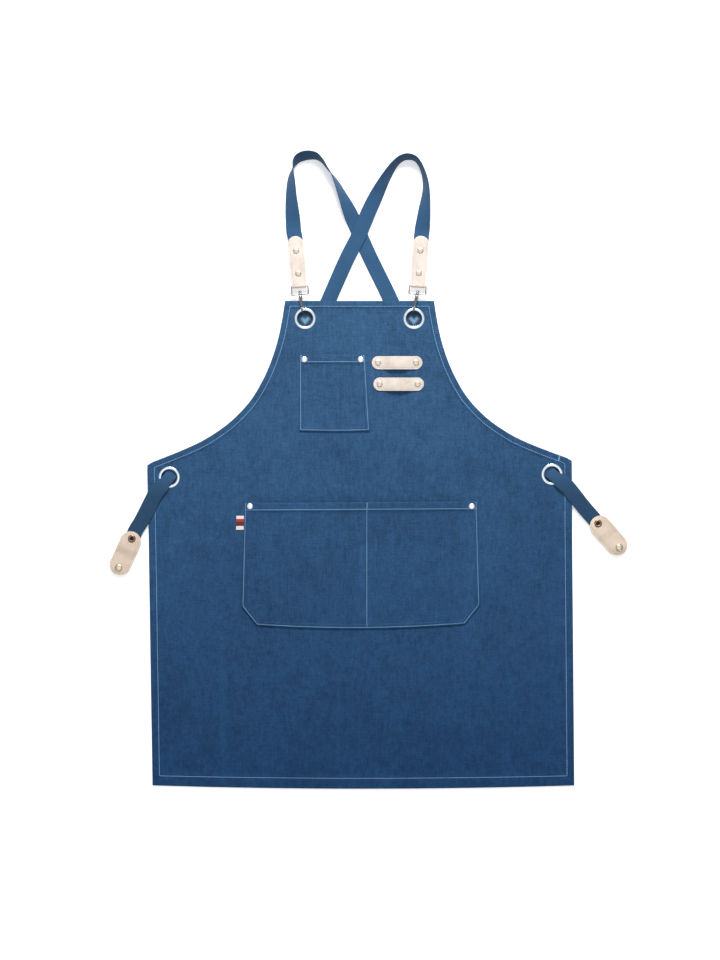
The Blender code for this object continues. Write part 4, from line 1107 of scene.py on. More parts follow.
def thread_material(name, colour):
    """Twisted sewing thread."""
    made, tree, shader = new_material(name)
    place = node(tree, "ShaderNodeTexCoord").outputs["Object"]
    fibre = noise_field(tree, place, 1500.0, detail=2.0)
    cloud = noise_field(tree, place, 22.0, detail=3.0)
    total = plus(tree, plus(tree, 0.55, fibre, 0.5), cloud, 0.4)
    tree.links.new(brightened(tree, colour, total), shader.inputs["Base Color"])
    shader.inputs["Roughness"].default_value = 0.7
    bumped(tree, shader, fibre, 0.4, 0.0002)
    return made


def leather_material(name, colour):
    """Undyed leather: fine pores, soft clouds of tone and paler edges, partly burnished and partly a painted
    highlight along the rounded edge.

    V is the share across the piece.
    """
    made, tree, shader = new_material(name)
    coords = node(tree, "ShaderNodeTexCoord")
    place = coords.outputs["Object"]
    cloud = noise_field(tree, place, 48.0, detail=5.0, rough=0.6)
    grain = noise_field(tree, place, 700.0, detail=4.0, rough=0.65)
    cells = node(tree, "ShaderNodeTexVoronoi", {"Scale": 900.0}, feature="DISTANCE_TO_EDGE")
    tree.links.new(place, cells.inputs["Vector"])
    pores = ranged(tree, cells.outputs["Distance"], 0.0, 0.12)
    darker = tuple(0.86 * c ** 1.15 for c in colour)
    tone = mixed(tree, ranged(tree, cloud, 0.35, 0.68), colour, darker)
    across = math_node(tree, "ABSOLUTE", axes_of(tree, coords.outputs["UV"])["Y"], 0)
    groove = product(tree, ranged(tree, across, 0.70, 0.80), ranged(tree, across, 0.80, 0.90, 1.0, 0.0))
    # Paler rim: partly burnished edge, partly painted highlight along the rounded edge
    rim = ranged(tree, across, 0.86, 0.96)
    total = 0.92
    for field, amount in ((grain, 0.16), (groove, -0.07), (rim, 0.12)):
        total = plus(tree, total, field, amount)
    tree.links.new(brightened(tree, tone, total), shader.inputs["Base Color"])
    tree.links.new(ranged(tree, rim, 0.0, 1.0, 0.58, 0.42), shader.inputs["Roughness"])
    shader.inputs["Specular IOR Level"].default_value = 0.4
    height = plus(tree, plus(tree, pores, grain, 1.4), groove, -3.0)
    bumped(tree, shader, height, 0.4, 0.00025)
    return made


def metal_material(name, colour, roughness, tarnish):
    """Plated metal with fine handling marks."""
    made, tree, shader = new_material(name)
    place = node(tree, "ShaderNodeTexCoord").outputs["Object"]
    marks = noise_field(tree, place, 1.0, (300, 2600, 900), 3.0)
    cloud = noise_field(tree, place, 160.0, detail=3.0)
    dark = tuple(0.55 * c for c in colour)
    tone = mixed(tree, ranged(tree, cloud, 0.45, 0.75, 0.0, tarnish), colour, dark)
    tree.links.new(tone, shader.inputs["Base Color"])
    shader.inputs["Metallic"].default_value = 1.0
    rough = ranged(tree, marks, 0.3, 0.7, roughness - 0.05, roughness + 0.07)
    tree.links.new(rough, shader.inputs["Roughness"])
    bumped(tree, shader, marks, 0.08, 0.0001)
    return made


def label_material(name, top, foot):
    """Woven tape with plain stripes, and a band of painted shadow above its lower white stripe."""
    made, tree, shader = new_material(name)
    place = node(tree, "ShaderNodeTexCoord").outputs["Object"]
    ramp = node(tree, "ShaderNodeValToRGB")
    stops = ramp.color_ramp.elements
    ramp.color_ramp.interpolation = "CONSTANT"
    stops.remove(stops[1])
    stops[0].color = (*STRIPES[0][1], 1)
    for position, colour in STRIPES[1:]:
        stops.new(position).color = (*colour, 1)
    tree.links.new(ranged(tree, axes_of(tree, place)["Y"], top, foot), ramp.inputs[0])
    fibre = noise_field(tree, place, 1.0, (500, 2200, 100), 2.0)
    total = plus(tree, 0.8, fibre, 0.4)
    tree.links.new(brightened(tree, ramp.outputs[0], total), shader.inputs["Base Color"])
    shader.inputs["Roughness"].default_value = 0.8
    bumped(tree, shader, plus(tree, band_field(tree, place, "X", TAPE_PITCH), fibre), 0.5, 0.0002)
    return made


def hem_reach(y):
    """The side hem's width at a level: read across, wider where the edge leans, and square to the edge."""
    wide = mix(SIDE_HEM, ARMHOLE_HEM, smooth((y - WAIST_Y + SIDE_HEM) / SIDE_HEM))
    step = 0.002
    level = max(y, WAIST_Y + step)
    lean = math.hypot(1, (half_width(level - step) - half_width(level)) / step)
    return wide * mix(1, lean, smooth((y - WAIST_Y + SIDE_HEM) / SIDE_HEM)), wide


def cloth_point(x, y, rise=0.0):
    """Point over the laid pattern, at a rise above the cloth's underside."""
    px, py = lay(x, y)
    return px, py, underside(px, py) + lift(px, py) + rise


def stitch_dip(away):
    """How far the cloth is drawn in at a distance from a row of stitches, from 0 to 1."""
    return math.exp(-(away / DIP_REACH) ** 2)


def hem_thickness(depth, wide):
    """Upper and lower side of the cloth at a depth in from a hem's edge."""
    fold = 2 * CLOTH
    if depth < CLOTH:
        half = CLOTH * math.sqrt(max(0.06, 1 - (1 - depth / CLOTH) ** 2))
        return CLOTH + half, CLOTH - half
    share = depth / wide
    upper = fold - CLOTH * smooth((share - 1.0) / HEM_FALL_SHARE)
    upper -= STITCH_DIP * stitch_dip(depth - STITCH_SHARE * wide)
    return upper, 0.0


def build_panel(finish):
    """The canvas panel as one fine sheet with its folded hem."""
    rows = [(BIB_TOP - TOP_HEM * share, TOP_HEM * share, TOP_HEM) for share in HEM_SHARES]
    start = rows[-1][0]
    end = HEM_Y + FOOT_HEM * HEM_SHARES[-1]
    levels = 150
    rows += [(mix(start, end, k / levels), 1.0, 1.0) for k in range(1, levels)]
    rows += [(HEM_Y + FOOT_HEM * share, FOOT_HEM * share, FOOT_HEM) for share in reversed(HEM_SHARES)]
    columns = 96
    upper = []
    lower = []
    depths = []
    for i, (y, row_depth, row_hem) in enumerate(rows):
        half = half_width(y)
        reach, wide = hem_reach(y)
        insets = [reach * share for share in HEM_SHARES]
        inner = half - insets[-1]
        spots = [(inset - half, wide * share) for inset, share in zip(insets, HEM_SHARES)]
        spots += [(mix(-inner, inner, k / columns), 1.0) for k in range(1, columns)]
        spots += [(-x, depth) for x, depth in reversed(spots[:len(insets)])]
        high_row = []
        low_row = []
        for j, (x, depth) in enumerate(spots):
            sides = hem_thickness(depth, wide) if depth < 1 else (CLOTH, 0.0)
            ends = hem_thickness(row_depth, row_hem) if row_depth < 1 else (CLOTH, 0.0)
            high = max(sides[0], ends[0])
            low = max(sides[1], ends[1])
            if min(depth, row_depth) < CLOTH:
                high = min(sides[0] if depth < CLOTH else 1, ends[0] if row_depth < CLOTH else 1)
            px, py, pz = cloth_point(x, y)
            if i in (0, len(rows) - 1) and j in (0, len(spots) - 1):
                px -= math.copysign(0.4 * CORNER_CUT, x)
            high_row.append((px, py, pz + high))
            low_row.append((px, py, pz + min(low, high)))
        upper.append(high_row)
        lower.append(low_row)
        depths.append([min(depth, row_depth) for x, depth in spots])
    shape = empty_shape()
    add_slab(shape, upper, lower, depths)
    panel = finish_piece("canvas_panel", shape, finish, ("apron_panel",))
    radius = GROMMET_HOLE + GROMMET_TUBE + FIT
    profile = ((0, HOLE_FROM), (radius, HOLE_FROM), (radius, HOLE_TO), (0, HOLE_TO))
    holes = empty_shape()
    for place in (bib_grommet_place, waist_grommet_place):
        for side in (-1, 1):
            x, y = place(side)
            add_lathe(holes, profile, 48, Matrix.Translation((x, y, 0)))
    mesh = bpy.data.meshes.new("holes")
    mesh.from_pydata(holes["verts"], [], holes["faces"])
    closed_mesh(mesh)
    cutter = bpy.data.objects.new("holes", mesh)
    bpy.context.scene.collection.objects.link(cutter)
    modifier = panel.modifiers.new("holes", "BOOLEAN")
    modifier.operation = "DIFFERENCE"
    modifier.solver = "FAST"
    modifier.object = cutter
    depsgraph = bpy.context.evaluated_depsgraph_get()
    cut = bpy.data.meshes.new_from_object(panel.evaluated_get(depsgraph))
    panel.modifiers.clear()
    panel.data = cut
    cut.materials.clear()
    cut.materials.append(finish)
    bpy.data.objects.remove(cutter, do_unlink=True)
    return panel


def chest_surface(share, down):
    """Underside and upper side of the chest pocket at a place: across 0 to 1, down in metres."""
    x, y = chest_corner(share, down)
    foot = CHEST_HEIGHT - SEAM_BAND
    width = mix(CHEST_TOP_WIDTH, CHEST_BOTTOM_WIDTH, down / CHEST_HEIGHT)
    land = RIVET_LAND / width
    edge = min(share, 1 - share) * width
    depth = max(0.0, 1 - down / foot)
    rise = CHEST_CROWN * crown((share - land) / (1 - 2 * land)) * depth ** POCKET_TAPER
    y -= CHEST_FOOT_BOW * crown(share, 2) * (down / CHEST_HEIGHT) ** 4
    return pocket_sides(x, y, rise, min(edge, CHEST_HEIGHT - down), down, CHEST_HEIGHT)


def pocket_sides(x, y, rise, edge, down, tall):
    """Both sides of a pocket's cloth: doubled at its seams and mouth, drawn in along its stitches."""
    z = underside(x, y) + lift(x, y) + CLOTH + FIT + rise
    double = 1 - min(smooth((edge - SEAM_BAND) / SEAM_FALL), smooth((down - MOUTH_BAND) / SEAM_FALL))
    thick = CLOTH * (1 + double * (1 + 0.7 * smooth(2.5 * down / tall - 0.8)))
    near = min(edge, down)
    low = z
    if near < CLOTH:
        round_off = CLOTH * (1 - math.sqrt(max(0.05, 1 - (1 - near / CLOTH) ** 2)))
        thick -= round_off
        low += 0.5 * round_off
    dips = stitch_dip(edge - SEAM_INSET) + stitch_dip(down - MOUTH_STITCH)
    return (x, y, low), (x, y, z + thick - STITCH_DIP * min(1.0, dips)), near


def waist_surface(place, down):
    """Underside and upper side of the waist pocket at a place across it and a distance down."""
    half = waist_pocket_half(down)
    foot = WAIST_POCKET_HEIGHT - SEAM_BAND
    depth = max(0.0, 1 - down / foot)
    land = half - RIVET_LAND
    seam = WAIST_POCKET_SEAM
    start, end = (-land, seam) if place < seam else (seam, land)
    rise = WAIST_POCKET_CROWN * crown((place - start) / (end - start)) * depth ** POCKET_TAPER
    y = POCKET_TOP - down
    y -= WAIST_POCKET_BOW * (1 - (place / half) ** 2) * (down / WAIST_POCKET_HEIGHT) ** 4
    y += WAIST_POCKET_SLANT * place
    edge = (half - abs(place)) / waist_lean(down)
    edge = min(edge, WAIST_POCKET_HEIGHT - down)
    low, high, near = pocket_sides(WAIST_POCKET_CENTRE + place, y, rise, edge, down, WAIST_POCKET_HEIGHT)
    dip = STITCH_DIP * stitch_dip(place - seam)
    return low, (high[0], high[1], high[2] - dip), near


def waist_lean(down):
    """How much wider a seam runs, read across, where the pocket's corners are cut."""
    if down > WAIST_POCKET_HEIGHT - WAIST_POCKET_RISE:
        return math.hypot(1, WAIST_POCKET_CUT / WAIST_POCKET_RISE)
    return 1.0


def build_sheet(name, sheet, finish, replaced):
    """Pocket from rows of places, each with its underside, its upper side and its depth from an edge."""
    lower, upper, depths = [[[spot[k] for spot in row] for row in sheet] for k in range(3)]
    shape = empty_shape()
    add_slab(shape, upper, lower, depths)
    return finish_piece(name, shape, finish, (replaced,))


def build_chest_pocket(finish):
    """Chest pocket as a fine sheet."""
    downs = list(MOUTH_STEPS)
    steps = 24
    last = CHEST_HEIGHT - SEAM_STEPS[-1]
    downs += [mix(MOUTH_STEPS[-1], last, k / steps) for k in range(1, steps)]
    downs += [CHEST_HEIGHT - step for step in reversed(SEAM_STEPS)]
    sheet = []
    for down in downs:
        width = mix(CHEST_TOP_WIDTH, CHEST_BOTTOM_WIDTH, down / CHEST_HEIGHT)
        ends = [step / width for step in SEAM_STEPS]
        shares = ends + [mix(ends[-1], 1 - ends[-1], k / 26) for k in range(1, 26)]
        shares += [1 - share for share in reversed(ends)]
        sheet.append([chest_surface(share, down) for share in shares])
    return build_sheet("chest_pocket_cloth", sheet, finish, "chest_pocket")


def build_waist_pocket(finish):
    """Waist pocket as a fine sheet with its centre seam and cut corners."""
    downs = list(MOUTH_STEPS)
    corner = WAIST_POCKET_HEIGHT - WAIST_POCKET_RISE
    downs += [mix(MOUTH_STEPS[-1], corner, k / 28) for k in range(1, 29)]
    last = WAIST_POCKET_HEIGHT - SEAM_STEPS[-1]
    downs += [mix(corner, last, k / 6) for k in range(1, 6)]
    downs += [WAIST_POCKET_HEIGHT - step for step in reversed(SEAM_STEPS)]
    seam = WAIST_POCKET_SEAM
    sheet = []
    for down in downs:
        half = waist_pocket_half(down)
        lean = waist_lean(down)
        ends = [half - step * lean for step in SEAM_STEPS]
        places = [-end for end in ends]
        places += [mix(-ends[-1], seam + CENTRE_STEPS[0], k / 28) for k in range(1, 28)]
        places += [seam + step for step in CENTRE_STEPS]
        places += [mix(seam + CENTRE_STEPS[-1], ends[-1], k / 28) for k in range(1, 28)]
        places += reversed(ends)
        sheet.append([waist_surface(place, down) for place in places])
    return build_sheet("waist_pocket_cloth", sheet, finish, "waist_pocket")


def add_stitches(shape, path, half=STITCH_HALF, pitch=STITCH_PITCH, length=STITCH_LENGTH):
    """Row of thread stitches along a path of points on the cloth's surface."""
    path = [Vector(point) for point in path]
    places = [0.0]
    for before, after in zip(path, path[1:]):
        places.append(places[-1] + (after - before).length)
    count = max(1, int(places[-1] / pitch))
    pitch = places[-1] / count

    def at(place):
        k = max(0, min(len(path) - 2, bisect.bisect_right(places, place) - 1))
        share = (place - places[k]) / max(1e-9, places[k + 1] - places[k])
        return path[k].lerp(path[k + 1], min(1.0, max(0.0, share)))

    for n in range(count):
        middle = (n + 0.5) * pitch
        start = at(middle - length / 2)
        end = at(middle + length / 2)
        along = (end - start).normalized()
        side = Vector((0, 0, 1)).cross(along).normalized()
        up = along.cross(side)
        rings = []
        for share, size, rise in STITCH_FORM:
            centre = start.lerp(end, share) + up * STITCH_RISE * (rise - STITCH_SUNK)
            rings.append(oval_ring(centre, side * half * size, up * STITCH_RISE * size, STITCH_SIDES))
        add_rings(shape, rings)


def hem_line(top, foot):
    """Line of the right-hand hem's stitches, beside the armhole and then down the skirt, as (x, y)."""
    inset = STITCH_SHARE * SIDE_HEM
    away = STITCH_SHARE * ARMHOLE_HEM
    line = []
    step = 0.001
    corner = WAIST_Y
    for y in steps_between(BIB_TOP - step, WAIST_Y + step, 0.003):
        slope = Vector((half_width(y - step) - half_width(y + step), -2 * step)).normalized()
        x = half_width(y) + away * slope.y
        level = y - away * slope.x
        if level > top:
            continue
        if x > half_width(WAIST_Y - step) - inset:
            break
        line.append((x, level))
        corner = level
    line = [(half_width(top) - away, top)] + line
    levels = steps_between(corner - 0.001, foot, 0.004)
    return line + [(half_width(y) - inset, y) for y in levels if y < WAIST_Y]


def build_stitching(finish):
    """All rows of thread on the panel and the pockets."""
    fold = 2 * CLOTH
    hem = empty_shape()
    top = BIB_TOP - STITCH_SHARE * TOP_HEM
    foot = HEM_Y + STITCH_SHARE * FOOT_HEM
    for side in (-1, 1):
        add_stitches(hem, [cloth_point(side * x, y, fold) for x, y in hem_line(top, foot)])
    for y in (top, foot):
        half = half_width(y) - STITCH_SHARE * hem_reach(y)[0]
        add_stitches(hem, [cloth_point(x, y, fold) for x in steps_between(-half, half, 0.006)])
    for aside in BAR_ROWS:
        x = WAIST_WIDTH / 2 - BAR_INSET + aside
        y = WAIST_Y - BAR_DROP
        path = []
        for k in range(4):
            lean = mix(-BAR_LEAN, BAR_LEAN, k / 3)
            path.append(cloth_point(x + lean, y + mix(-BAR_HALF, BAR_HALF, k / 3), fold))
        add_stitches(hem, path, *BAR_STITCH)
    finish_piece("hem_stitching", hem, finish)
    chest = empty_shape()
    width = CHEST_TOP_WIDTH
    inset = SEAM_INSET / width
    last = CHEST_HEIGHT - SEAM_INSET
    for share in (inset, 1 - inset):
        downs = steps_between(SEAM_START, last, SEAM_WALK)
        add_stitches(chest, [chest_surface(share, down)[1] for down in downs])
    for down in (MOUTH_STITCH, last):
        shares = steps_between(inset, 1 - inset, 0.04)
        add_stitches(chest, [chest_surface(share, down)[1] for share in shares])
    for share in (inset, 1 - inset):
        away = math.copysign(TACK_ASIDE, 0.5 - share) / width
        downs = steps_between(SEAM_START, TACK_DOWN, SEAM_WALK)
        add_stitches(chest, [chest_surface(share + away, down)[1] for down in downs], pitch=TACK_PITCH)
    finish_piece("chest_pocket_stitching", chest, finish)
    waist = empty_shape()
    last = WAIST_POCKET_HEIGHT - SEAM_INSET
    for side in (-1, 1):
        path = []
        for down in steps_between(SEAM_START, last, SEAM_WALK):
            across = waist_pocket_half(down) - SEAM_INSET * waist_lean(down)
            path.append(waist_surface(side * across, down)[1])
        add_stitches(waist, path)
    for down, level in ((MOUTH_STITCH, 0), (last, last)):
        half = waist_pocket_half(level) - SEAM_INSET
        add_stitches(waist, [waist_surface(x, down)[1] for x in steps_between(-half, half, MOUTH_WALK)])
    seam = WAIST_POCKET_SEAM
    for across, foot in ((seam, last), (seam + BAR_ROWS[1], SEAM_TACK_DOWN)):
        downs = steps_between(SEAM_START, foot, SEAM_WALK)
        add_stitches(waist, [waist_surface(across, down)[1] for down in downs])
    finish_piece("waist_pocket_stitching", waist, finish)


def build_label(finish):
    """Folded tape tag, caught in the pocket's seam and bent over at its outer end."""
    top = POCKET_TOP - LABEL_DROP
    levels = steps_between(top, top - LABEL_WIDTH, LABEL_ROW)
    upper = []
    lower = []
    for i, y in enumerate(levels):
        seam = WAIST_POCKET_CENTRE - waist_pocket_half(POCKET_TOP - y) - FIT
        edge = min(i, len(levels) - 1 - i)
        high_row = []
        low_row = []
        for k in range(LABEL_COLUMNS + 1):
            share = k / LABEL_COLUMNS
            x = seam - LABEL_LENGTH * (1 - share)
            ground = underside(x, y) + lift(x, y) + CLOTH + FIT
            curl = LABEL_CURL * (1 - share) ** 2
            half = LABEL_THICK / 2 * math.sqrt(max(0.1, 1 - (1 - min(1.0, 8 * share)) ** 2))
            half *= 0.7 if edge == 0 else 1.0
            middle = ground + curl + LABEL_THICK / 2
            high_row.append((x, y, middle + half))
            low_row.append((x, y, middle - half))
        upper.append(high_row)
        lower.append(low_row)
    shape = empty_shape()
    add_slab(shape, upper, lower, [[1.0] * len(row) for row in upper])
    return finish_piece("striped_label", shape, finish, ("side_label",))


def fine_pill_stations(length, width, middle):
    """Distances along a strip: dense at both round ends, then an even middle."""
    radius = width / 2
    ends = [radius * (1 - math.cos(math.radians(angle))) for angle in range(4, 91, 6)]
    ends.append(radius)
    inside = [mix(radius, length - radius, k / (middle + 1)) for k in range(1, middle + 1)]
    return ends + inside + [length - end for end in reversed(ends)]


def across_shares(half):
    """Share across a band of each point of its section."""
    return [across / half for across, high in rounded_section(half, LEATHER / 2, EDGE_RADIUS)]


def build_tool_loops(finish):
    """Leather strips with rounded ends, arched off the bib between their rivets."""
    for (cx, cy), name in zip(loop_places(), ("tool_loop_upper", "tool_loop_lower")):
        rings = []
        for along in fine_pill_stations(LOOP_STRIP_LENGTH, LOOP_STRIP_WIDTH, 30):
            half = pill_half(along, LOOP_STRIP_LENGTH, LOOP_STRIP_WIDTH)
            free = LOOP_STRIP_LENGTH - 2 * (LOOP_RIVET_INSET + CAP_RADIUS)
            share = (along - LOOP_RIVET_INSET - CAP_RADIUS) / free
            arch = LOOP_STRIP_ARCH * smooth(ARCH_STEEPNESS * share) * smooth(ARCH_STEEPNESS * (1 - share))
            x = cx - LOOP_STRIP_LENGTH / 2 + along
            bow = LOOP_BOW * (1 - (2 * along / LOOP_STRIP_LENGTH - 1) ** 2)
            z = BIB_RAISE + lift(cx, cy) + CLOTH + FIT + arch + LEATHER / 2
            rings.append(band_ring(Vector((x, cy - bow, z)), Vector((0, 1, 0)), Vector((0, 0, 1)), half))
        shape = empty_shape()
        add_rings(shape, rings, across=across_shares(LOOP_STRIP_WIDTH / 2))
        finish_piece(name + "_leather", shape, finish, (name,), sharp=60)


def fold_rings(points, place):
    """Rings of a folded leather band whose middle line runs in the place's YZ plane."""
    rings = []
    for k, (up, height, half) in enumerate(points):
        ring = band_ring(Vector((0, up, height)), Vector((1, 0, 0)), curve_normal(points, k), half)
        rings.append([place @ point for point in ring])
    return rings


def fine_tab_outline():
    """Middle line of the folded leather: (up, height, half width), top leaf first."""
    leaf = []
    for along in fine_pill_stations(2 * TAB_REACH, HOOK_TAB_WIDTH, 60):
        if along < TAB_REACH:
            up = TAB_REACH - along
            spread = mix(STACK / 2 - LEATHER / 2, TAB_TURN_RADIUS, smooth(1 - up / TAB_STRAP_END))
            narrow = mix(FOLD_NARROW, 1, smooth(up / (0.4 * TAB_REACH)))
            leaf.append((up, spread, narrow * pill_half(along, 2 * TAB_REACH, HOOK_TAB_WIDTH)))
    fold_half = FOLD_NARROW * HOOK_TAB_WIDTH / 2
    leaf.append((0.0, TAB_TURN_RADIUS, fold_half))
    count = 16
    angles = [math.pi * k / count for k in range(1, count)]
    bend = [(-TAB_TURN_RADIUS * math.sin(a), TAB_TURN_RADIUS * math.cos(a), fold_half) for a in angles]
    return leaf + bend + [(up, -height, half) for up, height, half in reversed(leaf)]


def build_hook_tabs(finish, metal):
    """Folded leather tabs and their rivets."""
    for name, values in SIDES.items():
        place = tab_frame(values)
        shape = empty_shape()
        add_rings(shape, fold_rings(fine_tab_outline(), place), across=across_shares(HOOK_TAB_WIDTH / 2))
        finish_piece(f"hook_tab_leather_{name}", shape, finish, (f"hook_tab_{name}",), sharp=60)
        for label, up in zip(("lower", "upper"), TAB_RIVETS):
            foot = place @ Matrix.Translation((0, up, -STACK / 2))
            build_rivet(f"tab_cap_{label}_{name}", STACK, foot, metal, f"tab_rivet_{label}_{name}")


def build_rivet(name, grip, place, metal, replaced):
    """Domed cap, shank and back of one rivet."""
    top = grip + FIT
    cap = CAP_RADIUS
    profile = dome(cap, top + 0.3 * CAP_HEIGHT, 0.7 * CAP_HEIGHT)
    profile += [(cap, top + 0.12 * CAP_HEIGHT), (0.96 * cap, top), (SHANK_RADIUS, top), (SHANK_RADIUS, -FIT)]
    profile += [(0.94 * BACK_RADIUS, -FIT), (BACK_RADIUS, -FIT - 0.3 * BACK_THICK)]
    profile += [(BACK_RADIUS, -FIT - 0.7 * BACK_THICK), (0.9 * BACK_RADIUS, -RIVET_BACK), (0, -RIVET_BACK)]
    shape = empty_shape()
    add_lathe(shape, profile, 32, place)
    return finish_piece(name, shape, metal, (replaced,))


def build_panel_rivets(bright, warm):
    """Rivets through pockets, loops and panel."""
    cloth_grip = 3 * CLOTH + FIT
    leather_grip = CLOTH + FIT + LEATHER
    groups = (
        ("chest", ("left", "right"), chest_rivets(), cloth_grip, bright),
        ("waist", ("left", "right"), waist_rivets(), cloth_grip, bright),
        ("loop", LOOP_RIVET_NAMES, loop_rivets(), leather_grip, warm),
    )
    for stem, names, places, grip, metal in groups:
        for name, (x, y) in zip(names, places):
            place = Matrix.Translation((x, y, underside(x, y)))
            extra = lift(x, y)
            build_rivet(f"{stem}_cap_{name}", grip + extra, place, metal, f"{stem}_rivet_{name}")


def build_grommets(metal):
    """Rolled eyelets with a smooth throat."""
    tube = GROMMET_HOLE + GROMMET_TUBE
    top = CLOTH + FIT
    wide = (GROMMET_RIM - GROMMET_HOLE) / 2
    middle = GROMMET_HOLE + wide
    inside = GROMMET_RIM - RIM_INSET
    roll = arc(wide, 180, -1, -15, (middle, top + 0.15 * RIM_FRONT), 0.85 * RIM_FRONT)
    under = arc(wide, 0, -181, -20, (middle, -FIT - 0.2 * RIM_BACK), 0.8 * RIM_BACK)
    profile = roll + [(inside, top), (tube, top), (tube, -FIT), (inside, -FIT)] + under
    kinds = (
        ("bib_grommet", bib_grommet_place, BIB_GROMMET_RAISE),
        ("waist_grommet", waist_grommet_place, WAIST_GROMMET_RAISE),
    )
    for stem, place, raised in kinds:
        for name, values in SIDES.items():
            x, y = place(values["side"])
            shape = empty_shape()
            add_lathe(shape, profile, 72, Matrix.Translation((x, y, raised)), ring=True)
            finish_piece(f"{stem}_ring_{name}", shape, metal, (f"{stem}_{name}",), sharp=50)


def build_hook_frames(metal):
    """Wire loops with rounded corners and a bored collar."""
    half = FOLD_NARROW * HOOK_TAB_WIDTH / 2 + 2 * FIT + FRAME_WIRE
    radius = 1.4 * FRAME_WIRE
    corners = ((half, 0, 0), (-half, 0, 90), (-half, -FRAME_HEIGHT, 180), (half, -FRAME_HEIGHT, 270))
    for name, values in SIDES.items():
        place = frame_frame(values)
        rings = []
        for x, y, start in corners:
            cx = x - math.copysign(radius, x)
            cy = y - radius if y == 0 else y + radius
            for turn in range(0, 91, 15):
                angle = math.radians(start + turn)
                out = Vector((math.cos(angle), math.sin(angle), 0))
                middle = Vector((cx, cy, 0)) + out * radius
                flat = mix(1.0, FRAME_FLAT, smooth(-middle.y / (0.4 * FRAME_HEIGHT)))
                middle += out * FRAME_WIRE * (flat - 1) * 0.8
                ring = oval_ring(middle, out * FRAME_WIRE * flat, Vector((0, 0, FRAME_WIRE)), 14)
                rings.append([place @ point for point in ring])
        shape = empty_shape()
        add_rings(shape, rings, closed=True)
        bore = NECK_RADIUS + NECK_PLAY
        end = COLLAR_LENGTH / 2
        collar = ((bore, -end), (bore, end), (0.9 * COLLAR_RADIUS, end), (COLLAR_RADIUS, 0.8 * end),
                  (COLLAR_RADIUS, -0.8 * end), (0.9 * COLLAR_RADIUS, -end))
        add_lathe(shape, collar, 28, lying(place, -FRAME_HEIGHT), ring=True)
        finish_piece(f"hook_frame_wire_{name}", shape, metal, (f"hook_frame_{name}",), sharp=50)


def yz_rings(points, radii, sides, place):
    """Rings of a wire whose middle line runs in the place's YZ plane; radii are (across, in plane)."""
    rings = []
    for k, (y, z) in enumerate(points):
        across, deep = radii[k]
        ring = oval_ring(Vector((0, y, z)), Vector((across, 0, 0)), curve_normal(points, k) * deep, sides)
        rings.append([place @ point for point in ring])
    return rings


def build_hook_bodies(metal):
    """Swivel head, neck, barrel and claw of each hook."""
    gap = COLLAR_LENGTH / 2 + SWIVEL_PLAY
    head = 0.003
    wide = SWIVEL_RADIUS
    end = -0.0055
    profile = dome(wide, gap + 0.3 * head, 0.7 * head) + [
        (wide, gap + 0.15 * head), (0.9 * wide, gap), (NECK_RADIUS, gap),
        (NECK_RADIUS, -gap), (0.85 * wide, -gap), (0.95 * wide, -gap - 0.0004),
        (0.95 * wide, end), (0.8 * wide, end - 0.0007), (0.55 * wide, end - 0.0012), (0, end - 0.0013),
    ]
    line = curve_through(claw_line(), 4)
    last = len(line) - 1
    radii = []
    for k in range(len(line)):
        flare = smooth((k - (last - 10)) / 7)
        tip = smooth((k - (last - 3)) / 3)
        radii.append((WIRE_RADIUS * mix(1, 2.1, flare) * mix(1, 0.72, tip), WIRE_RADIUS * mix(1, 0.7, tip)))
    lug = 0.0012
    lug_half = 0.0009
    web = [(-0.0045, -0.001), (-0.0045, 0.0022)]
    for k in range(13):
        angle = math.radians(60 + 150 * k / 12)
        web.append((-PIN_AHEAD + lug * math.cos(angle), PIN_ABOVE + lug * math.sin(angle)))
    web.append((-PIN_AHEAD - lug, -lug))
    pin_end = 0.0029
    for name, values in SIDES.items():
        place = swivel_frame(values)
        shape = empty_shape()
        add_lathe(shape, profile, 32, lying(place))
        add_rings(shape, yz_rings(line, radii, 16, place))
        add_rings(shape, [[place @ Vector((x, y, z)) for y, z in web] for x in (-lug_half, lug_half)])
        middle = Matrix.Translation((0, -PIN_AHEAD, PIN_ABOVE))
        pin = place @ middle @ Matrix.Rotation(math.radians(90), 4, "Y")
        ends = ((0, -pin_end), (0.8 * PIN_RADIUS, -pin_end), (PIN_RADIUS, -pin_end + 0.0002),
                (PIN_RADIUS, pin_end - 0.0002), (0.8 * PIN_RADIUS, pin_end), (0, pin_end))
        add_lathe(shape, ends, 16, pin)
        finish_piece(f"hook_claw_{name}", shape, metal, (f"hook_body_{name}",), sharp=50)


def build_gates(metal):
    """Spring gates: a tapered lever with rounded edges and two cheeks on the pin."""
    cheek_in = 0.0016
    cheek_out = 0.0024
    under = 0.0015
    rear = 0.0016
    tip_half = 0.0017
    eye = 0.0014
    cheek = [(0.0013, under + 0.0004), (-0.0034, under + 0.0004), (-0.0026, 0.0)] + arc(eye, 220, 361, 14)
    for name, values in SIDES.items():
        pin = swivel_frame(values) @ Matrix.Translation((0, -PIN_AHEAD, PIN_ABOVE))
        shape = empty_shape()
        rings = []
        for k in range(25):
            share = k / 24
            y = mix(rear, -GATE_LENGTH, share)
            half = mix(cheek_out, tip_half, smooth((share - 0.3) / 0.7))
            half *= math.sqrt(max(0.2, 1 - (1 - min(1.0, 10 * share)) ** 2))
            half *= math.sqrt(max(0.2, 1 - (1 - min(1.0, 10 * (1 - share))) ** 2))
            middle = Vector((0, y, under + GATE_PLATE / 2))
            ring = band_ring(middle, Vector((1, 0, 0)), Vector((0, 0, 1)), half, GATE_PLATE, 0.0004)
            rings.append([pin @ point for point in ring])
        add_rings(shape, rings)
        for side in (-1, 1):
            faces = sorted((side * cheek_in, side * cheek_out))
            add_rings(shape, [[pin @ Vector((x, y, z)) for y, z in cheek] for x in faces])
        finish_piece(f"hook_lever_{name}", shape, metal, (f"hook_gate_{name}",), f"gate_{name}")


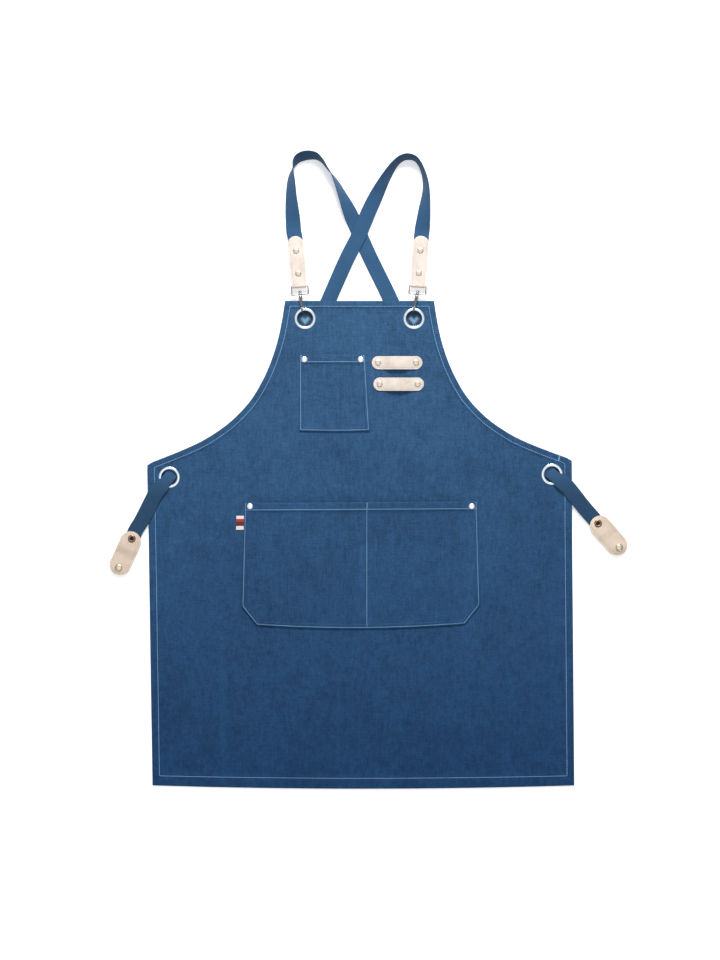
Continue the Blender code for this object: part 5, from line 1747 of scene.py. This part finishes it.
def build_end_tabs(finish, dark, recess, pale):
    """Leather tabs of two leaves round the strap's end, with a snap's socket and stud."""
    made = {}
    for name, values in SIDES.items():
        place = end_tab_frame(values)
        shape = empty_shape()
        for upper in (True, False):
            rings = []
            for along in fine_pill_stations(END_TAB_LENGTH, END_TAB_WIDTH, 26):
                half = pill_half(along, END_TAB_LENGTH, END_TAB_WIDTH)
                thick = mix(STACK, END_FOOT, smooth((along - END_STRAP_DEPTH - END_PINCH) / END_PINCH_RUN))
                z = thick - LEATHER / 2 if upper else LEATHER / 2
                ring = band_ring(Vector((0, -along, z)), Vector((1, 0, 0)), Vector((0, 0, 1)), half)
                rings.append([place @ point for point in ring])
            add_rings(shape, rings, across=across_shares(END_TAB_WIDTH / 2))
        replaced = (f"end_tab_{name}",)
        leaves = finish_piece(f"end_tab_leather_{name}", shape, finish, replaced, sharp=60)
        socket = empty_shape()
        add_lathe(socket, socket_shape(STACK), 40, place @ Matrix.Translation((0, -SOCKET_ALONG, 0)))
        ring = finish_piece(f"snap_socket_cap_{name}", socket, dark, (f"snap_socket_{name}",))
        # The socket's recess takes the painted shade
        ring.data.materials.append(recess)
        axis = place @ Vector((0, -SOCKET_ALONG, STACK))
        for face in ring.data.polygons:
            if (face.center - axis).length < RECESS_SHARE * SNAP_BORE:
                face.material_index = 1
        stud = empty_shape()
        add_lathe(stud, stud_shape(END_FOOT), 40, place @ Matrix.Translation((0, -STUD_ALONG, 0)))
        cap = finish_piece(f"snap_stud_cap_{name}", stud, pale, (f"snap_stud_{name}",))
        made[name] = [leaves, ring, cap]
    return made


def socket_shape(grip):
    """Snap socket: a rolled ring round a recess."""
    top = grip + FIT
    wide = SNAP_RADIUS
    tall = SNAP_HEIGHT
    centre = (mix(SNAP_BORE, 0.9 * wide, 0.5), top + 0.35 * tall)
    roll = arc(SNAP_ROLL, 180, -1, -15, centre, 0.65 * tall)
    inner = [(0, top + 0.25 * tall), (0.6 * SNAP_BORE, top + 0.25 * tall), (SNAP_BORE, top + 0.3 * tall)]
    rim = [(0.93 * wide, top + 0.3 * tall), (wide, top + 0.18 * tall), (wide, top), (SHANK_RADIUS, top)]
    return inner + roll + rim + list(snap_foot())


def stud_shape(grip):
    """Snap stud: a low dome on a flat rim with a turned groove."""
    top = grip + FIT
    wide = SNAP_RADIUS
    tall = SNAP_HEIGHT
    rim = [(across * wide, top + up * tall) for across, up in SNAP_RIM] + [(SHANK_RADIUS, top)]
    return dome(0.74 * wide, top + 0.62 * tall, 0.55 * tall) + rim + list(snap_foot())


def build_straps(finish):
    """Webbing straps with rounded edges."""
    made = {}
    for name in SIDES:
        rings = []
        along = [0.0]
        sections = strap_sections(name)
        outline = rounded_section(STRAP_WIDTH / 2, STRAP_THICK / 2, STRAP_EDGE)
        for k, (middle, side, normal) in enumerate(sections):
            if k:
                along.append(along[-1] + (middle - sections[k - 1][0]).length)
            wide = side / (STRAP_WIDTH / 2)
            high = normal / (STRAP_THICK / 2)
            rings.append([middle + wide * a + high * b for a, b in outline])
        shape = empty_shape()
        add_rings(shape, rings, along=along, across=[a for a, b in outline])
        replaced = (f"shoulder_strap_{name}",)
        piece = finish_piece(f"webbing_{name}", shape, finish, replaced, sharp=60)
        made[name] = piece, [middle for middle, side, normal in sections], along[-1]
    return made


def area_light(name, place, target, size, power):
    """Soft light that faces a target."""
    data = bpy.data.lights.new(name, "AREA")
    data.shape = "RECTANGLE"
    data.size, data.size_y = size
    data.energy = power
    light = bpy.data.objects.new(name, data)
    light.location = place
    light.rotation_euler = (Vector(target) - Vector(place)).to_track_quat("-Z", "Y").to_euler()
    bpy.context.scene.collection.objects.link(light)


def lit_patch(tree, aside, up):
    """Painted pool of light under a bib eyelet, with two rounded tops and a pointed foot."""
    off = math_node(tree, "ABSOLUTE", math_node(tree, "SUBTRACT", aside, PATCH_ASIDE), 0)
    top = math_node(tree, "SUBTRACT", plus(tree, PATCH_TOP, off, -PATCH_TOP_SLOPE), up)
    foot = plus(tree, math_node(tree, "ADD", up, PATCH_FOOT), aside, -PATCH_FOOT_SLOPE)
    return product(tree, ranged(tree, top, 0.0, PATCH_SOFT[0]), ranged(tree, foot, 0.0, PATCH_SOFT[1]))


def floor_material():
    """Pale paper, with painted shade under the eyelets, as deep as the shade under the cloth, and a painted
    pool of light in it under the bib eyelets.
    """
    made, tree, shader = new_material("floor_paper")
    place = node(tree, "ShaderNodeTexCoord").outputs["Object"]
    axes = axes_of(tree, place)
    grain = noise_field(tree, place, 30.0)
    tone = mixed(tree, ranged(tree, grain, 0.3, 0.7), (0.94, 0.94, 0.94), (0.96, 0.96, 0.96))
    shade = 0.0
    lit = 0.0
    for eyelet in (bib_grommet_place, waist_grommet_place):
        for side in (-1, 1):
            x, y = eyelet(side)
            aside = math_node(tree, "ABSOLUTE", math_node(tree, "SUBTRACT", axes["X"], x), 0)
            up = math_node(tree, "SUBTRACT", axes["Y"], y)
            square = plus(tree, product(tree, aside, aside), product(tree, up, up))
            away = math_node(tree, "SQRT", square, 0)
            inside = ranged(tree, away, SHADE_REACH, 0.95 * SHADE_REACH)
            shade = math_node(tree, "MAXIMUM", inside, shade)
            if eyelet is bib_grommet_place:
                lit = math_node(tree, "MAXIMUM", lit_patch(tree, aside, up), lit)
    under = mixed(tree, lit, SHADE_DEEP, SHADE_LIT)
    tree.links.new(mixed(tree, shade, tone, under), shader.inputs["Base Color"])
    shader.inputs["Emission Color"].default_value = (1, 1, 1, 1)
    tree.links.new(ranged(tree, shade, 0.0, 1.0, FLOOR_GLOW, 0.0), shader.inputs["Emission Strength"])
    shader.inputs["Roughness"].default_value = 0.95
    return made


def build_studio():
    """Floor, lights and the camera straight above."""
    mesh = bpy.data.meshes.new("floor")
    reach = FLOOR_REACH
    turns = ((-1, -1), (1, -1), (1, 1), (-1, 1))
    corners = [(x * reach, y * reach, FLOOR_LEVEL) for x, y in turns]
    mesh.from_pydata(corners, [], [(0, 1, 2, 3)])
    mesh.materials.append(floor_material())
    floor = bpy.data.objects.new("floor", mesh)
    bpy.context.scene.collection.objects.link(floor)
    world = bpy.data.worlds.new("studio")
    world.use_nodes = True
    tree = world.node_tree
    height = axes_of(tree, node(tree, "ShaderNodeTexCoord").outputs["Generated"])["Z"]
    tone = mixed(tree, ranged(tree, height, 0.25, 0.97), (0.10, 0.115, 0.14), (0.78, 0.80, 0.82))
    tree.links.new(tone, tree.nodes["Background"].inputs["Color"])
    scene = bpy.context.scene
    scene.world = world
    scene.view_settings.view_transform = "Standard"
    area_light("key", (0.1, 2.4, 1.9), (0, 0.0, 0), (1.0, 0.8), 92)
    area_light("fill", (0.0, -0.5, 3.2), (0, 0.1, 0), (2.4, 2.0), 14)
    data = bpy.data.cameras.new("camera")
    data.lens = CAMERA_LENS
    data.sensor_width = 36
    camera = bpy.data.objects.new("camera", data)
    camera.location = CAMERA_PLACE
    scene.collection.objects.link(camera)
    scene.camera = camera


def main():
    """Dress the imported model."""
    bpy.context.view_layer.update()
    canvas = canvas_material("canvas_cloth")
    pocket = canvas_material("canvas_pocket", 0.4)
    thread = thread_material("sewing_thread", THREAD)
    leather = leather_material("pale_leather", PALE_LEATHER)
    tan = leather_material("tan_leather", TAN_LEATHER)
    metals = {name: metal_material(name, *values) for name, *values in METALS}
    panel = build_panel(canvas)
    chest = build_chest_pocket(pocket)
    waist = build_waist_pocket(pocket)
    build_stitching(thread)
    tape_top = POCKET_TOP - LABEL_DROP
    label = build_label(label_material("striped_tape", tape_top, tape_top - LABEL_WIDTH))
    build_tool_loops(leather)
    build_hook_tabs(leather, metals["warm_cap_plate"])
    end_pieces = build_end_tabs(tan, metals["dark_bronze"], metals["recess_painted_shade"], metals["pale_brass"])
    build_panel_rivets(metals["cap_plate"], metals["warm_cap_plate"])
    build_grommets(metals["ring_plate"])
    build_hook_frames(metals["wire_plate"])
    build_hook_bodies(metals["smoked_plate"])
    # The gates in a darker plate: painted shade
    build_gates(metals["gate_painted_shade_plate"])
    straps = build_straps(webbing_material("woven_strap", WEBBING))
    build_studio()


main()
